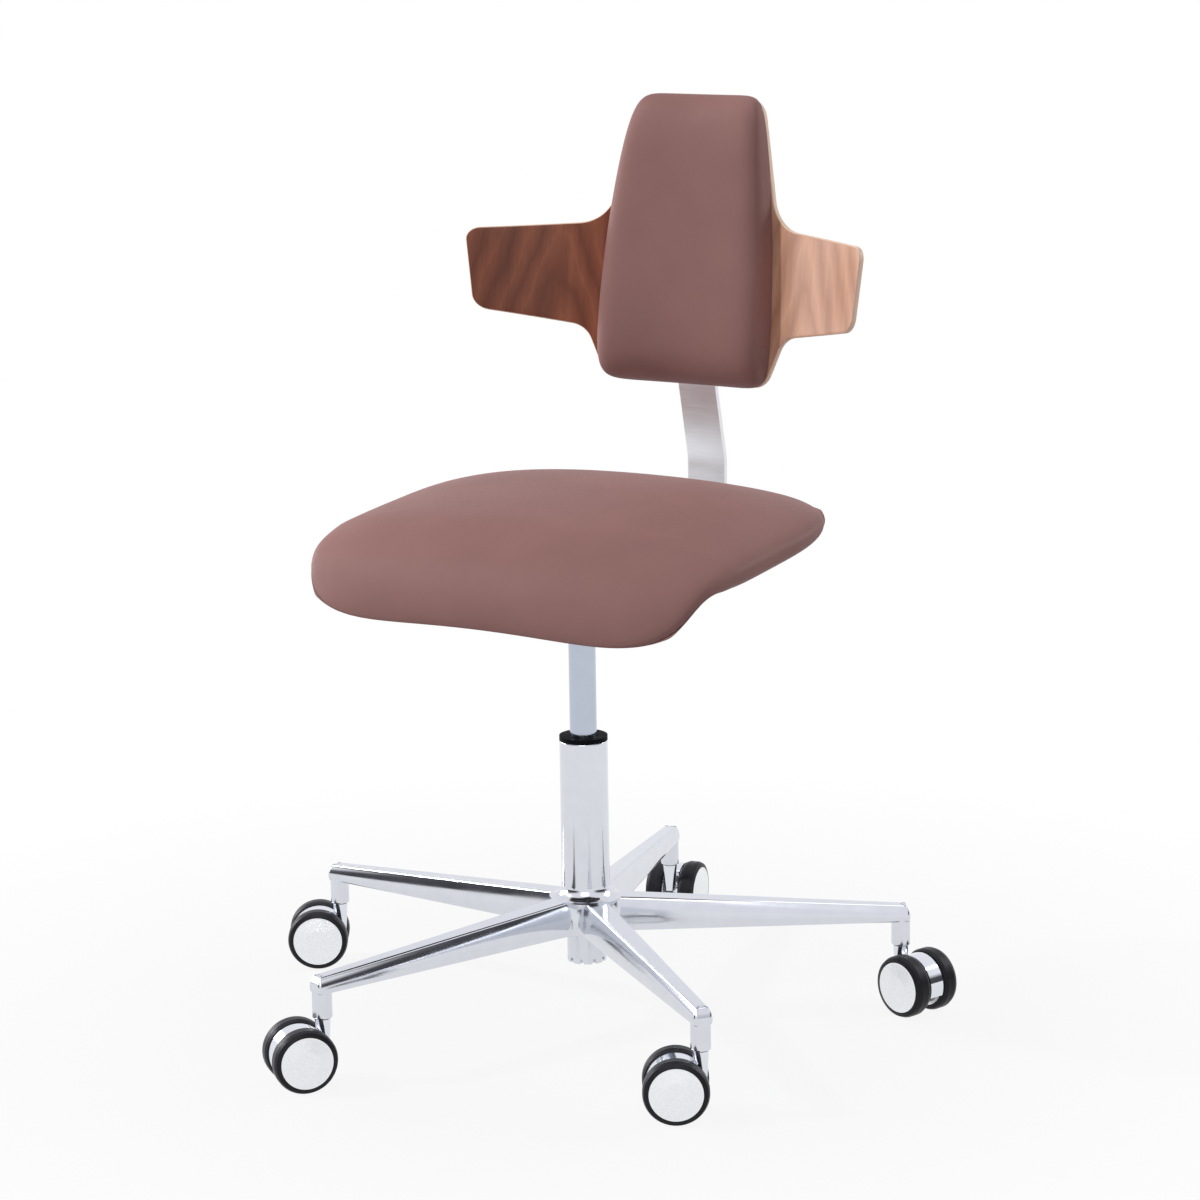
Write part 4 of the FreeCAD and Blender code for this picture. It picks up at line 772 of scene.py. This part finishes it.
class STOOL_OT_stage(bpy.types.Operator):
    """Floor, soft lights, a pale studio world and the camera"""
    bl_idname = "stool.stage"
    bl_label = "Stage"

    def execute(self, context):
        scene, settings = context.scene, context.scene.stool_stage
        scene.view_settings.view_transform = "Standard"
        self.floor(settings)
        self.world(scene, settings)
        key = bpy.data.lights.new("key", "SUN")
        key.energy, key.angle = settings.key, KEY_ANGLE
        self.aim(key, KEY_PLACE)
        for name, (place, size) in LAMPS.items():
            lamp = bpy.data.lights.new(name, "AREA")
            lamp.shape = "RECTANGLE"
            lamp.size, lamp.size_y = size
            lamp.energy = getattr(settings, name)
            self.aim(lamp, place)
        self.camera(scene)
        return {"FINISHED"}

    def floor(self, settings):
        """Flat disc of radius r at the floor's height, its edge far outside the picture.

        To the camera, to gloss and through glass it glows from 0.9 near the stool to white further out.
        """
        ring = np.array([0.0, 2.0, 6.0, 14.0, 40.0])[:, None]
        angle = np.linspace(0, 2 * math.pi, 96, endpoint=False)[None, :]
        grid = np.stack([ring * np.cos(angle), ring * np.sin(angle), np.zeros((5, 96))], -1)
        floor = build("floor", [(grid, False, True)])
        tree = Finish("pale_floor", settings.floor, 0.9, Specular_IOR_Level=0.0)
        ray = tree.add("LightPath").outputs
        seen = tree.largest(ray["Is Camera Ray"], ray["Is Glossy Ray"], ray["Is Transmission Ray"])
        away = tree.add("VectorMath", {0: tree.add("TexCoord").outputs["Object"]}, operation="LENGTH")
        glow = tree.spread(away.outputs["Value"], 0.9, 1.0, 0.35, 1.0)
        white = tree.add("Emission")
        mix = tree.add("MixShader", {0: tree.calc("MULTIPLY", seen, glow), 1: tree.shader.outputs[0],
                                     2: white.outputs[0]})
        tree.put(tree.nodes["Material Output"], {0: mix.outputs[0]})
        floor.data.materials.append(tree.material)

    def world(self, scene, settings):
        """White to the camera and through glass; gloss sees white and two dim screens, the rest even light."""
        scene.world = bpy.data.worlds.new("studio")
        tree = Tree(scene.world)
        look = tree.add("TexCoord").outputs["Generated"]
        split = tree.add("SeparateXYZ", {0: look}).outputs
        height = tree.add("MapRange", {"Value": split["Z"], "From Min": -1.0}).outputs["Result"]
        band = tree.add("ValToRGB", {0: height})
        stops = band.color_ramp.elements
        stops[0].position, stops[0].color = 0.48, (1, 1, 1, 1)
        stops[1].position, stops[1].color = 0.72, (1, 1, 1, 1)
        for position, level in ((0.51, 0.06), (0.63, 0.08)):
            stop = stops.new(position)
            stop.color = (level, level, level * 1.1, 1)
        sides = tree.largest(*(self.towards(tree, look, turn) for turn in SCREENS))
        ray = tree.add("LightPath").outputs
        level = tree.add("MapRange", {"Value": ray["Is Glossy Ray"], "To Min": settings.sky}).outputs["Result"]
        soft = tree.put(tree.nodes["Background"], {
            "Color": tree.mix(sides, (0.97, 0.97, 1.0), band.outputs[0]), "Strength": level})
        white = tree.add("Background", {"Color": (1, 1, 1, 1)})
        seen = tree.largest(ray["Is Camera Ray"], ray["Is Transmission Ray"])
        mix = tree.add("MixShader", {0: seen, 1: soft.outputs[0], 2: white.outputs[0]})
        tree.put(tree.nodes["World Output"], {0: mix.outputs[0]})

    def towards(self, tree, look, turn):
        """1 where a ray looks along the bearing given in degrees, falling to 0 about 45 degrees away."""
        bearing = (math.cos(math.radians(turn)), math.sin(math.radians(turn)), 0)
        dot = tree.add("VectorMath", {0: look, 1: bearing}, operation="DOT_PRODUCT").outputs["Value"]
        return tree.add("MapRange", {"Value": dot, "From Min": 0.72, "From Max": 0.96},
                        interpolation_type="SMOOTHSTEP").outputs["Result"]

    def aim(self, light, place):
        """Puts a light at a place, looking at the middle of the stool."""
        lamp = bpy.data.objects.new(light.name, light)
        look = LIT_POINT - Vector(place)
        lamp.matrix_world = Matrix.Translation(place) @ look.to_track_quat("-Z", "Y").to_matrix().to_4x4()
        bpy.context.scene.collection.objects.link(lamp)

    def camera(self, scene):
        """Long lens from the front right, looking down a little."""
        data = bpy.data.cameras.new("camera")
        data.lens = CAMERA_LENS
        data.sensor_width = 36.0
        camera = bpy.data.objects.new("camera", data)
        turn, dip, roll = CAMERA_TURNS
        ahead = Vector((-math.sin(turn) * math.cos(dip), math.cos(turn) * math.cos(dip), -math.sin(dip)))
        side = Vector((math.cos(turn), math.sin(turn), 0))
        up = side.cross(ahead)
        right = side * math.cos(roll) + up * math.sin(roll)
        above = up * math.cos(roll) - side * math.sin(roll)
        pose = Matrix((right, above, -ahead)).transposed().to_4x4()
        pose.translation = CAMERA_PLACE
        camera.matrix_world = pose
        scene.collection.objects.link(camera)
        scene.camera = camera


class STOOL_OT_seat_cushion(bpy.types.Operator):
    """Seat cushion, filled like foam under its cover, with a hollow for the seat board"""
    bl_idname = "stool.seat_cushion"
    bl_label = "Seat cushion"

    def execute(self, context):
        sizes = context.scene.stool_seat
        top, under, ring = seat_form(sizes, DRAWN_IN * sizes.swell)
        lining = np.zeros((2, top.shape[0] - 1, top.shape[1] - 1), int)
        lining[1, 16:-16, 19:-19] = 1
        piece = build("seat_cover", [(top, False, False), (hollowed(under, 0.004), False, False)],
                      bands=lining.ravel(), crease=180.0, ring=ring)
        points = hollowed(upholster(piece, sizes.swell), 0.002)
        settle(piece, seat_place(points, sizes.tilt))
        piece.data.materials.append(cover_finish(context.scene.stool_finishes))
        piece.data.materials.append(moulded_finish("lining_cloth", LINING_BLACK, 0.8, 1500.0, 0.1))
        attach(piece, "seat")
        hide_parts("seat_cushion")
        return {"FINISHED"}


class STOOL_OT_back_pad(bpy.types.Operator):
    """Back pad, filled like foam under its cover, resting on the shell"""
    bl_idname = "stool.back_pad"
    bl_label = "Back pad"

    def execute(self, context):
        sizes = context.scene.stool_back
        *sheets, ring = pad_form(sizes, DRAWN_IN * sizes.swell)
        piece = build("back_pad_cover", [(sheet, False, False) for sheet in sheets], crease=180.0, ring=ring)
        points = upholster(piece, sizes.swell)
        shell = np.sqrt(sizes.curve ** 2 - np.minimum(np.abs(points[:, 0]), 0.3) ** 2) - sizes.curve
        points[:, 1] = np.minimum(points[:, 1], shell - 0.0005)
        settle(piece, back_place(points, sizes.lean))
        piece.data.materials.append(bpy.data.materials["cover_leatherette"])
        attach(piece, "back")
        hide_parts("back_pad")
        return {"FINISHED"}


class STOOL_OT_back_shell(bpy.types.Operator):
    """Bent plywood cross with a walnut face and sanded edges"""
    bl_idname = "stool.back_shell"
    bl_label = "Back shell"

    def execute(self, context):
        sizes, colours = context.scene.stool_back, context.scene.stool_finishes
        points, uv, bands = shell_form(sizes)
        piece = build("bent_shell", [(back_place(points, sizes.lean), False, True)], uv, bands)
        piece.data.materials.append(walnut_finish(colours))
        piece.data.materials.append(ply_finish(colours))
        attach(piece, "back")
        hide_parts("back_shell")
        return {"FINISHED"}


class STOOL_OT_cast_base(bpy.types.Operator):
    """Polished casting: column, five arms and legs"""
    bl_idname = "stool.cast_base"
    bl_label = "Cast base"

    def execute(self, context):
        piece = build("cast_base", base_grids(context.scene.stool_base), crease=35.0)
        cast = context.scene.stool_finishes.cast
        piece.data.materials.append(polish_finish("polished_casting", cast, 0.12, 0.05))
        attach(piece, "base")
        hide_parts("star_base")
        return {"FINISHED"}


class STOOL_OT_lift(bpy.types.Operator):
    """Gas lift, collar, nut and bearing"""
    bl_idname = "stool.lift"
    bl_label = "Lift"

    def execute(self, context):
        colours = context.scene.stool_finishes
        dress(polish_finish("tube_chrome", colours.tube, 0.14, 0.02), "pressure_tube", "piston_rod")
        dress(moulded_finish("collar_black", colours.black, 0.6, 700.0, 0.04), "column_bush")
        dress(polish_finish("nut_metal", colours.cast, 0.22, 0.1), "bottom_nut", "thrust_bearing", "rod_clip",
              "piston", "rod_guide", "valve_pin")
        return {"FINISHED"}


class STOOL_OT_casters(bpy.types.Operator):
    """Chromed hoods, satin wheels and soft treads"""
    bl_idname = "stool.casters"
    bl_label = "Casters"

    def execute(self, context):
        colours = context.scene.stool_finishes
        dress(polish_finish("hood_chrome", colours.chrome, 0.08, 0.03), *caster_nodes("hood"))
        dress(moulded_finish("cap_satin", colours.cap, 0.3, 900.0, 0.5, 0.85), *caster_nodes("wheel_left"),
              *caster_nodes("wheel_right"))
        dress(moulded_finish("tread_rubber", colours.tread, 0.38, 500.0, 0.16), *caster_nodes("tyre_left"),
              *caster_nodes("tyre_right"))
        dress(brushed_finish("turned_steel", colours.bar, 0.25), "caster_stems", *caster_nodes("axle"))
        return {"FINISHED"}


class STOOL_OT_under_seat(bpy.types.Operator):
    """Seat board, plate, socket, lever and the bar's guide"""
    bl_idname = "stool.under_seat"
    bl_label = "Under the seat"

    def execute(self, context):
        colours = context.scene.stool_finishes
        dress(painted_finish("coated_steel", COATED_BLACK, 0.45), "seat_plate", "gas_socket", "bar_guide",
              "height_lever", "back_carrier")
        dress(painted_finish("stained_board", STAINED_BLACK, 0.6), "seat_pan")
        dress(moulded_finish("grip_black", colours.black, 0.45), "lever_grip", "clamp_knob", "back_knob")
        dress(brushed_finish("plated_steel", colours.bar, 0.3), "seat_screws", "lever_pin", "clamp_stud",
              "carrier_screws", "back_knob_stud")
        return {"FINISHED"}


class STOOL_OT_back_bar(bpy.types.Operator):
    """Flat brushed bar that carries the back"""
    bl_idname = "stool.back_bar"
    bl_label = "Back bar"

    def execute(self, context):
        dress(brushed_finish("bar_brushed", context.scene.stool_finishes.bar, 0.4), "back_bar")
        return {"FINISHED"}


class STOOL_PT_panel(bpy.types.Panel):
    """Lists the stool's pieces"""
    bl_idname = "STOOL_PT_panel"
    bl_label = "Practitioner stool"
    bl_space_type = "VIEW_3D"
    bl_region_type = "UI"
    bl_category = "Stool"

    def draw(self, context):
        for step in STEPS:
            self.layout.operator(step.bl_idname)
        for group in GROUPS:
            settings = getattr(context.scene, group)
            box = self.layout.box()
            for name in settings.__annotations__:
                box.prop(settings, name)


GROUPS = {"stool_seat": SeatSizes, "stool_back": BackSizes, "stool_base": BaseSizes,
          "stool_finishes": Finishes, "stool_stage": StageSettings}
STEPS = (STOOL_OT_stage, STOOL_OT_seat_cushion, STOOL_OT_back_pad, STOOL_OT_back_shell, STOOL_OT_back_bar,
         STOOL_OT_cast_base, STOOL_OT_lift, STOOL_OT_casters, STOOL_OT_under_seat)


def register():
    for group in GROUPS.values():
        bpy.utils.register_class(group)
    for step in (*STEPS, STOOL_PT_panel):
        bpy.utils.register_class(step)
    for name, group in GROUPS.items():
        setattr(bpy.types.Scene, name, PointerProperty(type=group))


def unregister():
    for name in GROUPS:
        delattr(bpy.types.Scene, name)
    for step in reversed((*STEPS, STOOL_PT_panel)):
        bpy.utils.unregister_class(step)
    for group in reversed(GROUPS.values()):
        bpy.utils.unregister_class(group)


def main():
    register()
    bpy.ops.stool.stage()
    bpy.ops.stool.seat_cushion()
    bpy.ops.stool.back_pad()
    bpy.ops.stool.back_shell()
    bpy.ops.stool.back_bar()
    bpy.ops.stool.cast_base()
    bpy.ops.stool.lift()
    bpy.ops.stool.casters()
    bpy.ops.stool.under_seat()


if __name__ == "__main__":
    main()
